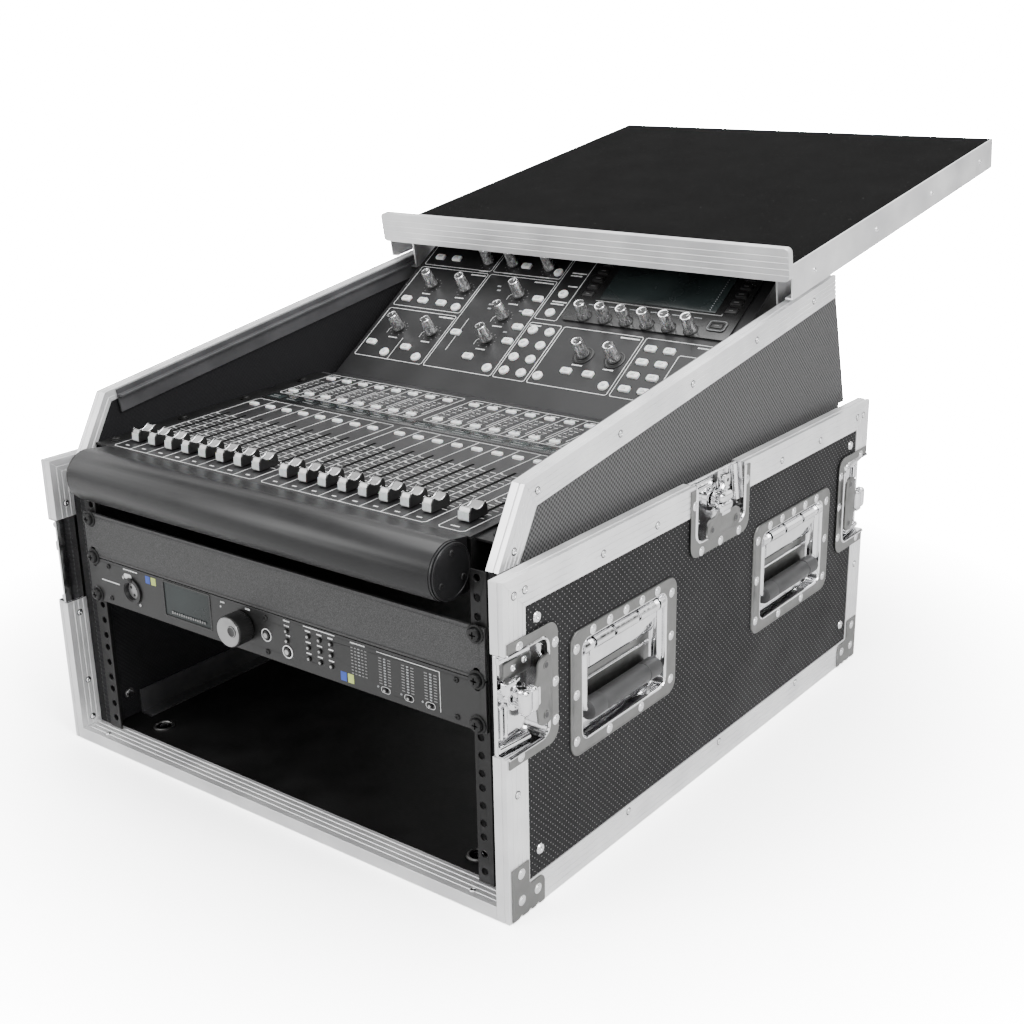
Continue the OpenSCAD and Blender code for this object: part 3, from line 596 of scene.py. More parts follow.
def ringed_bolt(s, r):
    """A bolt head in the middle of a pressed ring."""
    ring = [(r * 0.7, 0), (r, 0), (r, 0.9), (r * 0.9, 1.6), (r * 0.78, 1.5), (r * 0.7, 0.6)]
    s.paint = 1
    s.turned(ring, steps=32)
    s.turned([(r * 0.7, 0), (r * 0.7, 0.6), (0, 0.6)], steps=32)
    s.paint = 0
    s.turned([(r * 0.4, 0.5), (r * 0.4, 1.2), (r * 0.25, 1.9), (0, 2.0)], steps=16)


def inner_bolts():
    """Bolts on the inner walls and in the floor, where the CAD has them."""
    shape = Shape(MAT["chrome"], MAT["dull_plate"])
    for low, high in islands("case_rivets"):
        mid = (low + high) / 2
        if abs(mid.x) >= INNER_WALL:
            continue
        if high.x - low.x < high.z - low.z:
            turn = Matrix.Rotation(math.copysign(math.pi / 2, -mid.x), 4, "Y")
            wall = math.copysign(max(abs(low.x), abs(high.x)), mid.x)
            shape.place = Matrix.Translation(Vector((wall, mid.y, mid.z)) / MM) @ turn
            shape.paint = 1
            shape.turned([(5.8, 0), (5.8, 0.7), (4.6, 1.0), (0, 1.0)], steps=24)
            shape.paint = 0
            shape.turned([(4.2, 0.9), (4.2, 1.8), (3.0, 3.0), (0, 3.2)], steps=6)
        else:
            shape.place = Matrix.Translation(Vector((mid.x, mid.y, low.z)) / MM)
            ringed_bolt(shape, (high.x - low.x) / 2 / MM)
    shape.piece("inner_bolts", "case")


def leg_rivets():
    """Rivet heads on the inner aluminium legs of the front posts and on the front sill."""
    shape = Shape(MAT["chrome"], MAT["plate"], MAT["steel"])
    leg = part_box("floor_panel")[1].x / MM + 0.1
    front = FRONT_Y / MM
    sill_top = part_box("cross_sills")[1].z / MM
    for sign in (-1, 1):
        turn = Matrix.Rotation(-sign * math.pi / 2, 4, "Y")
        for z in (20, 60, 132, 244):
            shape.place = Matrix.Translation((sign * leg, front + 13, z)) @ turn
            # dark ring painted round the rivet head as its shadow and dirt
            rivet_shadow_and_dirt_ring(shape, 2.6)
            dome(shape, 2.6, 1.2)
        shape.place = Matrix.Translation((sign * (leg - 30), front + 7.4, sill_top))
        dome(shape, 2.6, 1.2)
    shape.piece("leg_rivets", "case")


def case_rivets():
    """Domed rivets and big pan screws, where the CAD rivets stand on the two sides."""
    for sign, side in ((1, "right"), (-1, "left")):
        shape = Shape(MAT["chrome"], MAT["plate"], MAT["steel"])
        for low, high in islands("case_rivets"):
            mid = (low + high) / 2
            if mid.x * sign < 0 or abs(mid.x) < INNER_WALL:
                continue
            r = (high.z - low.z) / 2 / MM
            base = min(abs(low.x), abs(high.x))
            shape.place = in_mm(side_frame(mid.y, mid.z, base))
            if r > 4:
                screw_head(shape, r, 0, 2.0)
            else:
                # dark ring painted round the rivet head as its shadow and dirt
                rivet_shadow_and_dirt_ring(shape, r)
                dome(shape, r, 1.3, washer=1.1 if r > 3 else 0)
        place = flipped(Matrix()) if sign < 0 else Matrix()
        shape.piece("rivets_" + side, "case", place)
    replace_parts(bpy.data.objects["rivets_right"], "case_rivets")


def shelf_rivets():
    """Domes over the rivets of the shelf's side channels."""
    shape = Shape(MAT["chrome"])
    first, step, below_top, half_wide = 44.9, 140, 18, 252.8
    for i in range(4):
        for sign in (-1, 1):
            spot = Matrix.Translation((sign * half_wide, first + i * step, -below_top))
            shape.place = spot @ Matrix.Rotation(sign * math.pi / 2, 4, "Y")
            dome(shape, 3.0, 1.6)
    shape.piece("shelf_rivets", "shelf", SHELF)


def plate_outline():
    """The flange of a latch dish: rounded away from the edge of the case, open towards it."""
    outer = [(3, 51.5)] + arc(12, 90, 0, 6, (54, 39.5)) + arc(12, 0, -90, 6, (54, -39.5)) + [(3, -51.5)]
    inner = [(3, -41)] + arc(8, -90, 0, 5, (44, -33)) + arc(8, 0, 90, 5, (44, 33)) + [(3, 41)]
    return outer + inner


def latch_place(side, which):
    """Frame of a latch: x into the face from the edge of the case, y along the edge."""
    spot = JOINTS[f"latch_turn_{which}_{side}"]["pos_m"]
    turn = {"front": 0, "top": -90, "rear": 180}[which]
    place = side_frame(spot[1], spot[2], SIDE_X)
    place = place @ Matrix.Rotation(math.radians(turn), 4, "Z") @ Matrix.Translation((-24 * MM, 0, 0))
    return flipped(place) if side == "left" else place


def latch_dish(side, which):
    """Pressed dish that lets the lid's hook in: flange, rolled lip, walls, floor and guide bars."""
    s = Shape(MAT["dull_plate"], MAT["chrome"])
    prism(s, plate_outline(), 0.02, 1.15)
    s.paint = 1
    lip = [(2.4, -42.4)] + arc(9.4, -90, 0, 6, (44, -33)) + arc(9.4, 0, 90, 6, (44, 33)) + [(2.4, 42.4)]
    s.tube([Vector((x, y, 0.9)) for x, y in lip], 1.5, 8)
    wall = [(0.3, -42)] + arc(9, -90, 0, 5, (44, -33)) + arc(9, 0, 90, 5, (44, 33)) + [(0.3, 42)]
    inside = [(0.3, 41)] + arc(8, 90, 0, 5, (44, 33)) + arc(8, 0, -90, 5, (44, -33)) + [(0.3, -41)]
    prism(s, wall + inside, -10.6, 0.5)
    prism(s, [(0.3, -41.9)] + arc(9, -90, 0, 5, (43.9, -32.9)) + arc(9, 0, 90, 5, (43.9, 32.9))
          + [(0.3, 41.9)], -11, -10)
    s.tube([Vector((1.2, v, -9.6)) for v in (-41, -20, 0, 20, 41)], 1.3, 10)
    for v in (-36.5, 37):
        s.tube([Vector((u, v, -8.2 + 0.1 * u)) for u in (1, 8, 16, 24, 34)], 3.0, 14)
    for u in (5.5, 11.0):
        s.tube([Vector((u, v, -8.6)) for v in (-29, -20, -10, -4)], 1.6, 10)
    s.paint = 0
    s.slab(34, 15, 3, -10, -7.6, (26, 24), 0.8)
    s.paint = 1
    for u, v in ((34, 27), (20, 25), (41, -22)):
        dome(s, 3.0, 1.6, (u, v), -7.7 if v > 0 else -10.1)
    s.turned([(11.5, -10.2), (11.5, -7.6), (10.6, -7.1), (3.8, -7.1), (3.8, -10)], (24, 0), 28)
    return s.piece(f"latch_dish_{which}_{side}", "case", latch_place(side, which))


def latch_key(side, which):
    """Turning part of a latch: shield-shaped wing, knuckle, and the hook arm with its square eye."""
    s = Shape(MAT["dull_plate"], MAT["chrome"], MAT["rubber"])
    low, high = 2.85, 5.0
    half = arc(7.5, 8, 95, 5, (46.5, 21.5)) + arc(6.5, 110, 185, 5, (42, 22)) + [(34.2, 13.5), (30.5, 8.5)]
    outline = half + [(x, -y) for x, y in reversed(half)]
    inset = [Vector((x, y)) * 0.965 + Vector((42, 0)) * 0.035 for x, y in outline]
    s.skin([[Vector((p[0], p[1], z)) for p in ring] for ring, z in (
        (outline, low), (outline, high - 0.5), (inset, high))])
    for v in (-21, 21):
        s.paint = 0
        s.turned([(3.6, high - 0.2), (3.6, high + 0.3), (3.0, high + 0.4), (2.4, high + 0.05)], (45.5, v))
        # the eyelet's hole is a flat dark disc: painted shade
        s.paint = 2
        s.turned([(2.3, high - 0.1), (2.3, high + 0.12), (0, high + 0.14)], (45.5, v))
    s.paint = 1
    s.turned([(3.4, -10.4), (3.4, -6), (7.6, -5.6), (8.4, -4.8), (8.4, 2.0), (7.6, 2.8), (0, 2.9)],
             (24, 0), 28)
    for u, tilt in ((19.2, 1), (28.8, -1)):
        s.skin([rounded(8.6, 21, 3.6, z, (u + tilt * shift, -0.5), 4) for z, shift in (
            (1.0, 0), (6.0, 0))] + [rounded(7.2, 19, 3.0, 7.4, (u + tilt * 0.4, -0.5), 4),
                                    rounded(4.2, 15, 2.0, 8.2, (u + tilt * 0.4, -0.5), 4)])
    s.tube([Vector((x, 3.4, 4.4)) for x in (15.6, 20, 28, 32.4)], 1.9, 12)
    s.skin([rounded(9, 15, 1.5, z, (31.5, 0), 3) for z in (2.9, 5.8, 6.2)])
    arm = [Vector((24 - 19 * math.sin(a), 19 * math.cos(a) - 1.5, -4.2)) for a in
           (math.radians(8 + 12 * i) for i in range(6))]
    s.tube(arm, 2.3, 10)
    s.tube([Vector((20, 2, -3.6)), Vector((17, 8, -3.8)), Vector((13, 12, -4.0))], 3.2, 10)
    s.slab(10.5, 9.6, 1.2, -6.6, -0.6, (9.2, 13.6), 0.6)
    # the eye's hole is a flat dark disc: painted shade
    s.paint = 2
    s.turned([(1.9, -0.8), (1.9, -0.5), (0, -0.48)], (9.2, 13.6))
    name = f"latch_key_{which}_{side}"
    obj = s.piece("wing_and_hook_" + which + "_" + side, name, latch_place(side, which))
    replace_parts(obj, name)


def dish_place(side, which):
    """Frame in the middle of a handle's dish, on the face of the board."""
    spot = JOINTS[f"handle_hinge_{which}_{side}"]["pos_m"]
    place = side_frame(spot[1], spot[2] - 35 * MM, SIDE_X - 0.8 * MM)
    return flipped(place) if side == "left" else place


def handle_dish(side, which):
    """Drawn dish with a rolled rim, stepped back, cover strip and tunnels for the hinge rod."""
    s = Shape(MAT["dull_plate"], MAT["chrome"])
    well = (124, 86)
    n = 6
    flange = [rounded(well[0] + 3.4, well[1] + 3.4, 9.6, 1.35, steps=n),
              rounded(158 - 4.0, 110 - 4.0, 10.5, 1.25, steps=n),
              rounded(158 - 2.4, 110 - 2.4, 11.0, 1.75, steps=n),
              rounded(158 - 0.8, 110 - 0.8, 11.8, 1.55, steps=n),
              rounded(158, 110, 12, 0.7, steps=n), rounded(158, 110, 12, 0.02, steps=n),
              rounded(well[0] + 2.4, well[1] + 2.4, 9.2, 0.02, steps=n),
              rounded(well[0] + 2.4, well[1] + 2.4, 9.2, -13.7, steps=n)]
    inner = [rounded(well[0] - 10, well[1] - 10, 5, -12.6, steps=n),
             rounded(well[0] - 4, well[1] - 4, 7, -12.1, steps=n),
             rounded(well[0] - 0.6, well[1] - 0.6, 8, -9.5, steps=n),
             rounded(well[0], well[1], 8, -0.4, steps=n),
             rounded(well[0] + 0.9, well[1] + 0.9, 8.4, 0.8, steps=n),
             rounded(well[0] + 2.2, well[1] + 2.2, 9.0, 1.5, steps=n)]
    s.skin(inner + flange, paints=[1] * (len(inner) - 1) + [1] + [0] * (len(flange) - 1))
    s.paint = 1
    s.skin([rounded(118, 34, 3, -12.7, (0, 24.5)), rounded(117, 33, 3, -9.3, (0, 25)),
            rounded(115, 30, 3, -8.2, (0, 25.8))])
    s.skin([rounded(118, 13, 3, -12.7, (0, -35.4)), rounded(117, 11, 3, -10.6, (0, -36.4)),
            rounded(115, 8, 3, -9.6, (0, -37.4))])
    s.tube([Vector((x, -1.5, -11.8)) for x in (-54, -20, 20, 54)], 1.4, 12)
    for x0, x1 in ((-60, -52.5), (-44, -19), (-15, 17), (21, 45), (52.5, 60)):
        outside = arc(5.9, 205, -25, 14, (35, -3))
        inside = arc(3.75, -25, 205, 14, (35, -3))
        ring = [Vector((0, y, z)) for y, z in outside + inside]
        s.skin([[p + Vector((x, 0, 0)) for p in ring] for x in (x0, x0 + 0.01, x1 - 0.01, x1)])
    edge = [(-49.5, 30.4), (49.5, 30.4), (49.5, 25.5)]
    edge += [(38 - 3.1 * i, 22.2 - 5.2 / (1 + math.exp(3.2 - i))) for i in range(7)] + [(-49.5, 17)]
    prism(s, edge, -2.1, -0.9)
    for sign in (-1, 1):
        coil = [Vector((sign * (46.2 + 0.09 * i), 35 + 4.7 * math.cos(a), -3 + 4.7 * math.sin(a)))
                for i, a in ((i, 0.6 * i) for i in range(64))]
        s.tube(coil, 0.5, 6)
    return s.piece(f"handle_dish_{which}_{side}", "case", dish_place(side, which))


def handle(side, which):
    """Bail with rounded corners and a rubber grip."""
    s = Shape(MAT["chrome"], MAT["rubber"])
    r, arm, low = 3.5, 56, 35 - 57
    s.tube([Vector((x, 35, -3)) for x in (-63, -30, 30, 63)], r, 16)
    corner = 11
    left = arc(corner, 180, 270, 6, (-arm + corner, low + corner))
    right = arc(corner, 270, 360, 6, (arm - corner, low + corner))
    path = [(-arm, 33)] + left + right + [(arm, 33)]
    s.tube([Vector((x, y, -3)) for x, y in path], r, 16)
    for sign in (-1, 1):
        s.place = Matrix.Translation((sign * arm, 35, -3)) @ Matrix.Rotation(math.pi / 2, 4, "Y")
        s.turned([(3.6, -3.4), (5.0, -2.8), (5.2, 0), (5.0, 2.8), (3.6, 3.4)], steps=20)
    s.place = Matrix.Translation((0, low, -3)) @ Matrix.Rotation(math.pi / 2, 4, "Y")
    s.paint = 1
    end = [(3.6, -52), (7.2, -52), (8.7, -51.2), (9.0, -49.8), (9.0, -33.2), (8.6, -32.8), (8.6, -32.3),
           (8.8, -31.9)]
    s.turned(end + [(8.8, 31.9), (8.6, 32.3)] + [(q, -z) for q, z in reversed(end[:-2])], steps=28)
    name = f"handle_{which}_{side}"
    obj = s.piece("bail_and_grip_" + which + "_" + side, name, dish_place(side, which))
    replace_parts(obj, name)


def corner_plate(side, end):
    """Plate over the bottom corner of the case, with three notches in its lower edge."""
    s = Shape(MAT["dull_plate"])
    bottom = [(3, 0.5)]
    for c in (14, 26, 36):
        bottom += arc(2.2, 180, 0, 6, (c, 0.6))
    points = bottom + [(45, 0.5), (45, 19.5)] + arc(6, 0, 90, 5, (39, 19.5))
    points += arc(3, 270, 180, 4, (28, 28.5)) + [(25, 47.5), (3, 47.5)]
    prism(s, points, 0.02, 1.2)
    place = side_frame(FRONT_Y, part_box("cross_sills")[0].z, SIDE_X)
    if end == "rear":
        place = side_frame(REAR_Y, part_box("cross_sills")[0].z, SIDE_X) @ Matrix.Diagonal((-1, 1, 1, 1))
    if side == "left":
        place = flipped(place)
    return s.piece(f"corner_plate_{end}_{side}", "case", place, bevel=0.35)


def hardware():
    made = []
    for side in ("right", "left"):
        for which in ("front", "top", "rear"):
            made.append(latch_dish(side, which))
            latch_key(side, which)
        for which in ("front", "rear"):
            made.append(handle_dish(side, which))
            handle(side, which)
            made.append(corner_plate(side, which))
    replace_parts(made[0], "pressed_dishes")
    case_rivets()
    inner_bolts()
    leg_rivets()
    shelf_rivets()


def rack_screws():
    """Black pan screws with cup washers that hold the rack units, and the console's ear screws."""
    s = Shape(MAT["steel"])
    for low, high in islands("rack_screws"):
        mid = (low + high) / 2
        if high.z - low.z > 12 * MM:
            s.place = in_mm(front_frame(mid.x, low.y, mid.z))
            s.turned([(8, -4), (8.1, -3.4), (7.6, -2.8), (6.4, -2.7), (6.2, -3.2), (0, -3.2)], steps=28)
            screw_head(s, 5.9, -3.3, 0.2)
        else:
            s.place = in_mm(Matrix.Translation((mid.x, mid.y, low.z)))
            s.turned([(5.6, 0), (5.6, 0.9), (5.0, 1.2), (0, 1.2)])
            screw_head(s, 4, 1.1, 3.0)
    obj = s.piece("pan_screws", "case")
    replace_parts(obj, "rack_screws")


# ------------------------------------------------------------------ mixing console

INK = 0.12  # height of a printed line, in mm
DECK_FADER = 33  # where the fader caps rest, up the deck
CHANNEL_CAP, MAIN_CAP = 10.5, 12.5  # widths of the fader caps
KEY_UP = 1.9
STRIP_KEY = (10.5, 6.2)
SQUARE_KEY = (12.5, 7.6)
SOFT_KEY = (12.4, 6.8)
ROUND_KEY = 10.8


def outline(s, x0, x1, y0, y1, width=0.55, base=0.0, cut=0.0):
    """A printed box; cut rounds its corners."""
    box = [(x0 + cut, y0), (x1 - cut, y0), (x1, y0 + cut), (x1, y1 - cut), (x1 - cut, y1),
           (x0 + cut, y1), (x0, y1 - cut), (x0, y0 + cut)] if cut else [
               (x0, y0), (x1, y0), (x1, y1), (x0, y1)]
    s.path(box, width, base, base + INK, closed=True)


def caption(s, x, y, length, high=1.5, base=0.0):
    """A row of short strokes that reads as small print without being any letter."""
    at = x
    while at < x + length - 0.5:
        wide = random.uniform(0.7, 1.7)
        tall = high * random.uniform(0.7, 1.0)
        s.bar((at, y), (min(at + wide, x + length), y), tall, base, base + INK)
        at += wide + random.uniform(0.25, 0.45)


def on_plane(place, points):
    """Places and widths of CAD solids, as (x, y, wide) in mm in a panel's own frame."""
    back = place.inverted()
    spots = []
    for low, high in points:
        p = back @ ((low + high) / 2) / MM
        spots.append((p.x, p.y, high.x / MM - low.x / MM))
    return spots


def key_cap(s, w, h, r, at, high):
    """A key of clear silicone: rounded sides and a slightly crowned top."""
    s.skin([rounded(w, h, r, -2.6, at, 4), rounded(w, h, r, high - 0.8, at, 4),
            rounded(w - 0.5, h - 0.5, r - 0.2, high - 0.25, at, 4),
            rounded(w - 1.6, h - 1.6, max(r - 0.8, 0.1), high - 0.03, at, 4),
            rounded(w * 0.4, h * 0.4, r * 0.35, high + 0.1, at, 4)])


def key_legend(s, x, y, high, wide):
    """Faint generic strokes on a key."""
    for row in (0.85, -0.85):
        caption(s, x - wide / 2, y + row, wide * random.uniform(0.75, 1.0), 0.8, high + 0.02)


def fader(s, x, y, wide):
    """Fader cap: dark sides, a silver saddle with bright rims, and a bright front."""
    half, low = wide / 2, 1.3
    crest = [(-11, 9.2), (-9.2, 12.0), (-7.6, 12.2), (-5.2, 10.4), (-2.6, 9.0), (0, 8.5), (2.6, 9.0),
             (5.2, 10.4), (7.8, 12.4), (9.4, 12.2), (11, 9.4)]

    def ring(t):
        top = [(x + t, y + a, b) for a, b in crest]
        return [(x + t, y - 11.6, low)] + top + [(x + t, y + 11.4, low)]

    def narrow(t, drop):
        top = [(x + t, y + a * 0.97, b - drop) for a, b in crest]
        return [(x + t, y - 11.2, low)] + top + [(x + t, y + 11.0, low)]

    edge = half - 0.9
    s.paint = 1
    s.skin([narrow(-half, 0.7), ring(-half + 0.5), ring(-edge)], paints=[1, 1])
    s.skin([ring(edge), ring(half - 0.5), narrow(half, 0.7)], paints=[1, 1])
    s.paint = 0
    s.skin([narrow(-edge + 0.02, 0.45), narrow(edge - 0.02, 0.45)])
    s.paint = 2
    for sign in (-1, 1):
        rim = [Vector((x + sign * (half - 0.45), y + a, b + 0.05)) for a, b in crest[1:-1]]
        s.tube(rim, 0.42, 6)
    s.paint = 3
    s.skin([[(x - half + 0.9, y - 11.75, 2.4), (x + half - 0.9, y - 11.75, 2.4),
             (x + half - 0.9, y - 11.3, 8.7), (x - half + 0.9, y - 11.3, 8.7)],
            [(x - half + 0.9, y - 12.0, 2.4), (x + half - 0.9, y - 12.0, 2.4),
             (x + half - 0.9, y - 11.55, 8.7), (x - half + 0.9, y - 11.55, 8.7)]])
    s.paint = 4
    s.skin([rounded(1.8, 5, 0.4, z, (x, y)) for z in (-4, 1.6)])


def faders():
    looks = (MAT["cap"], MAT["plastic"], MAT["chrome"], MAT["key"], MAT["steel"])
    s = Shape(*looks)
    strips = sorted(x for x, _, _ in on_plane(DECK, islands("channel_faders")))
    for x in strips:
        fader(s, x, DECK_FADER, CHANNEL_CAP)
    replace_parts(s.piece("fader_caps", "channel_faders", DECK, 30), "channel_faders")
    main = on_plane(DECK, islands("main_fader"))[0][0]
    s = Shape(*looks)
    fader(s, main, DECK_FADER, MAIN_CAP)
    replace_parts(s.piece("main_fader_cap", "main_fader", DECK, 30), "main_fader")
    return strips, main


def deck_keys():
    s = Shape(MAT["key"], MAT["faint"])
    for x, y, _ in on_plane(DECK, islands("channel_buttons")):
        s.paint = 0
        key_cap(s, *STRIP_KEY, 2.0, (x, y), KEY_UP)
        s.paint = 1
        key_legend(s, x, y, KEY_UP, 5.2)
    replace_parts(s.piece("strip_keys", "channel_buttons", DECK), "channel_buttons")


def deck_print(strips, main):
    """Printing on the deck: channel boxes, fader scales, and marks between the upper keys."""
    s = Shape(MAT["print"], MAT["faint"])
    pitch = strips[1] - strips[0]
    banks = [strips[:8], strips[8:]]
    end = 296
    for bank in banks:
        x0, x1 = bank[0] - pitch / 2, bank[-1] + pitch / 2
        s.paint = 0
        outline(s, x0, x1, 4.7, 189, cut=2.5)
        outline(s, x0, x1, 216, end, cut=2.5)
        for x in bank:
            line = x + pitch / 2
            if x != bank[-1]:
                s.bar((line, 5), (line, 188.6), 0.5, 0, INK)
                s.bar((line, 217), (line, end - 0.4), 0.5, 0, INK)
            fader_scale(s, x)
            strip_marks(s, x)
            s.paint = 0
            caption(s, x - 2.4, 12, 5.2, 1.8)
    s.paint = 0
    outline(s, main - 13, main + 13, 4.7, 160, cut=2.5)
    fader_scale(s, main)
    s.paint = 0
    caption(s, main - 5, 12, 9, 1.8)
    outline(s, main - 13, main + 13, 168, end, cut=2.5)
    for y in (182, 196, 226, 241):
        caption(s, main - 8, y, 14)
    s.piece("deck_print", "case", DECK)


def fader_scale(s, x):
    """Level scale on both sides of a slot."""
    for i in range(21):
        y = 36 + 4.6 * i
        s.paint = 0 if i % 2 == 0 else 1
        for sign in (-1, 1):
            near, far = (2.6, 8.6) if i % 2 == 0 else (2.6, 6.0)
            s.bar((x + sign * near, y), (x + sign * far, y), 0.55, 0, INK)
            if i % 4 == 0 and sign < 0:
                caption(s, x - 10.8, y + 1.9, 2.6, 1.4)


def strip_marks(s, x):
    """Small level ladder, labels and short rules round the upper keys."""
    s.paint = 0
    s.bar((x + 7.8, 232), (x + 7.8, 268), 0.5, 0, INK)
    for i in range(9):
        s.paint = i % 2
        s.bar((x - 3.4, 234 + 4.4 * i), (x + 1.2, 234 + 4.4 * i), 0.7, 0, INK)
        caption(s, x - 8.6, 234 + 4.4 * i, 3.2, 1.2)
    s.paint = 0
    caption(s, x - 5, 290, 9.5, 1.5)
    caption(s, x - 5, 219.6, 9.5, 1.4)


def scribble_strip(strips):
    """Smoked display strip between the key rows, with a cell for each channel."""
    low, high = 193, 212
    x0, x1 = strips[0] - 14, strips[-1] + 16
    s = Shape(MAT["frame"], MAT["screen"], MAT["faint"])
    s.slab(x1 - x0, high - low, 1.5, 0.0, 0.7, ((x0 + x1) / 2, (low + high) / 2), 0.3)
    for x in strips:
        s.paint = 1
        s.slab(18.5, 11.5, 0.8, 0.6, 0.95, (x, (low + high) / 2), 0.1)
        s.paint = 2
        caption(s, x - 6.5, low + 6.6, 12, 1.2, 0.95)
        caption(s, x - 6.5, low + 11.6, 9, 1.2, 0.95)
    s.piece("display_strip", "case", DECK)


def slot_liners(strips, main):
    """Dark throats of the fader slots, with the rod the carriage runs on."""
    s = Shape(MAT["steel"], MAT["plate"])
    for x in strips + [main]:
        s.paint = 0
        outline_in = [rounded(3.6, 111, 1.2, z, (x, 83), 3) for z in (-0.02, 0.16)]
        inner = [rounded(2.6, 110, 1.0, z, (x, 83), 3) for z in (0.16, -5.5)]
        s.skin(outline_in + inner, caps=False)
        s.skin([rounded(3.6, 111, 1.2, -0.02, (x, 83), 3), rounded(3.6, 111, 1.2, -5.6, (x, 83), 3),
                rounded(2.6, 110, 1.0, -5.5, (x, 83), 3)], caps=False)
        s.paint = 1
        s.tube([Vector((x, y, -4.6)) for y in (29, 83, 137)], 0.5, 6)
    bmesh.ops.remove_doubles(s.bm, verts=s.bm.verts[:], dist=1e-4)
    s.piece("slot_throats", "case", DECK)


def knob(s, r=6.4):
    """Fluted silver knob: dark skirt, bright rim and a dark hollow top with a pointer."""
    s.paint = 1
    s.turned([(r + 0.9, 1.2), (r + 1.1, 1.7), (r + 0.9, 2.6), (r, 3.0)], steps=28)
    s.paint = 0
    flutes = 28
    rings = []
    for z, q in ((2.4, r), (4.4, r - 0.1), (19.0, r - 0.75), (20.2, r - 0.85)):
        ring = []
        for i in range(flutes * 2):
            a = math.pi * i / flutes
            reach = q - (0.16 if i % 2 else 0.0) * (1 if z < 20 else 0.4)
            ring.append((reach * math.cos(a), reach * math.sin(a), z))
        rings.append(ring)
    s.skin(rings)
    s.paint = 2
    s.turned([(r - 0.9, 19.6), (r - 0.8, 20.6), (r - 1.2, 21.15), (r - 1.9, 21.1), (r - 2.2, 20.2),
              (0, 20.0)], steps=28)
    s.paint = 1
    s.turned([(r - 2.3, 20.05), (r - 2.4, 20.4), (0, 20.2)], steps=28)
    s.paint = 3
    s.bar((0, 1.0), (0, r - 2.6), 0.7, 20.3, 20.6)


def knobs():
    """One knob on each knob joint of the console; gives back their spots on the panel for the marks round
    them.
    """
    spots = []
    for name, joint in JOINTS.items():
        if "knob" not in name or name == "processor_knob_turn":
            continue
        node = joint["child"]
        spot = PANEL.inverted() @ Vector(joint["pos_m"]) / MM
        spots.append((node, spot.x, spot.y))
        s = Shape(MAT["knob"], MAT["plastic"], MAT["chrome"], MAT["print"])
        lean = Matrix.Rotation(random.uniform(-2.2, 2.2), 4, "Z")
        s.place = Matrix.Translation((spot.x, spot.y, 0)) @ lean
        knob(s)
        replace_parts(s.piece(node + "_cap", node, PANEL, 40), node)
    return spots


def panel_keys():
    s = Shape(MAT["key"], MAT["faint"], MAT["plastic"])
    for x, y, wide in on_plane(PANEL, islands("master_buttons")):
        small = wide > 12.2 and y > 95 and x > 10 and (x < 30 or x > 180)
        if small:
            s.paint = 2
            s.slab(*SOFT_KEY, 0.9, 1.4, 3.5, (x, y), 0.5)
            s.paint = 1
            caption(s, x - 2.5, y, 5, 0.8, 3.5)
            continue
        s.paint = 0
        if wide > 11.5:
            key_cap(s, *SQUARE_KEY, 2.4, (x, y), KEY_UP)
            s.paint = 1
            key_legend(s, x, y, KEY_UP + 0.05, 6.0)
        else:
            key_cap(s, ROUND_KEY, ROUND_KEY, 5.35, (x, y), KEY_UP)
            s.paint = 1
            key_legend(s, x, y, KEY_UP + 0.05, 4.4)
    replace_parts(s.piece("panel_keys", "master_buttons", PANEL), "master_buttons")


def panel_print(spots):
    """Boxes, double rules, labels, knob scales and small lamps on the knob panel."""
    s = Shape(MAT["print"], MAT["faint"], MAT["lamp"])
    keys = on_plane(PANEL, islands("master_buttons"))
    boxes = ((-212, -117, 14.5, 88.5), (-212, -117, 93.5, 156.5), (-212, -117, 160.5, 203),
             (-114, -24.3, 14.5, 156.5), (-114, -24.3, 160.5, 203), (-21.5, 18.2, 14.5, 95),
             (-21.5, 6.4, 101, 203), (21.4, 117, 14.5, 95), (120.4, 206, 14.5, 95))
    for x0, x1, y0, y1 in boxes:
        outline(s, x0, x1, y0, y1, 0.6, cut=1.6)
    s.bar((-164.5, 15), (-164.5, 47), 0.5, 0, INK)
    for y0, y1 in ((40, 61), (71, 88)):
        s.bar((-100, y0), (-100, y1), 0.5, 0, INK)
    outline(s, 166, 206, 14.6, 78, 0.6, cut=1.6)
    for x, y, length in ((-139, 84.5, 20), (-139, 152.5, 20), (-52, 152.5, 25), (-52, 198, 22),
                         (-8, 152, 12), (-14, 168, 15), (-14, 172, 18), (-14, 128, 18), (-14, 124.5, 16),
                         (92, 91, 22), (-20, 91, 14), (180, 91, 14), (-140, 198, 20)):
        caption(s, x, y, length, 1.9)
    for node, x, y in spots:
        if node.startswith("screen"):
            continue
        s.paint = 1
        for i in range(11):
            a = math.radians(-60 + 30 * i)
            near, far = [(x + q * math.cos(a), y + q * math.sin(a)) for q in (9.4, 10.9)]
            if not any(math.hypot(far[0] - kx, far[1] - ky) < wide / 2 + 1 for kx, ky, wide in keys):
                s.bar(near, far, 0.55, 0, INK)
        s.paint = 0
        caption(s, x - 6, y - 13.5, 12, 1.7)
        if node.startswith(("gate", "comp", "eq")):
            s.path([(x - 12.5, y - 8), (x - 12.5, y - 2), (x - 9.5, y + 3)], 0.5, 0, INK)
    s.paint = 2
    for x, y in ((-94, 140), (-91, 134), (-88, 112), (-86, 106), (-45, 108), (-46, 76), (-141, 141)):
        s.bar((x, y), (x + 4.5, y), 1.9, 0, 0.3)
    s.piece("panel_print", "case", PANEL)


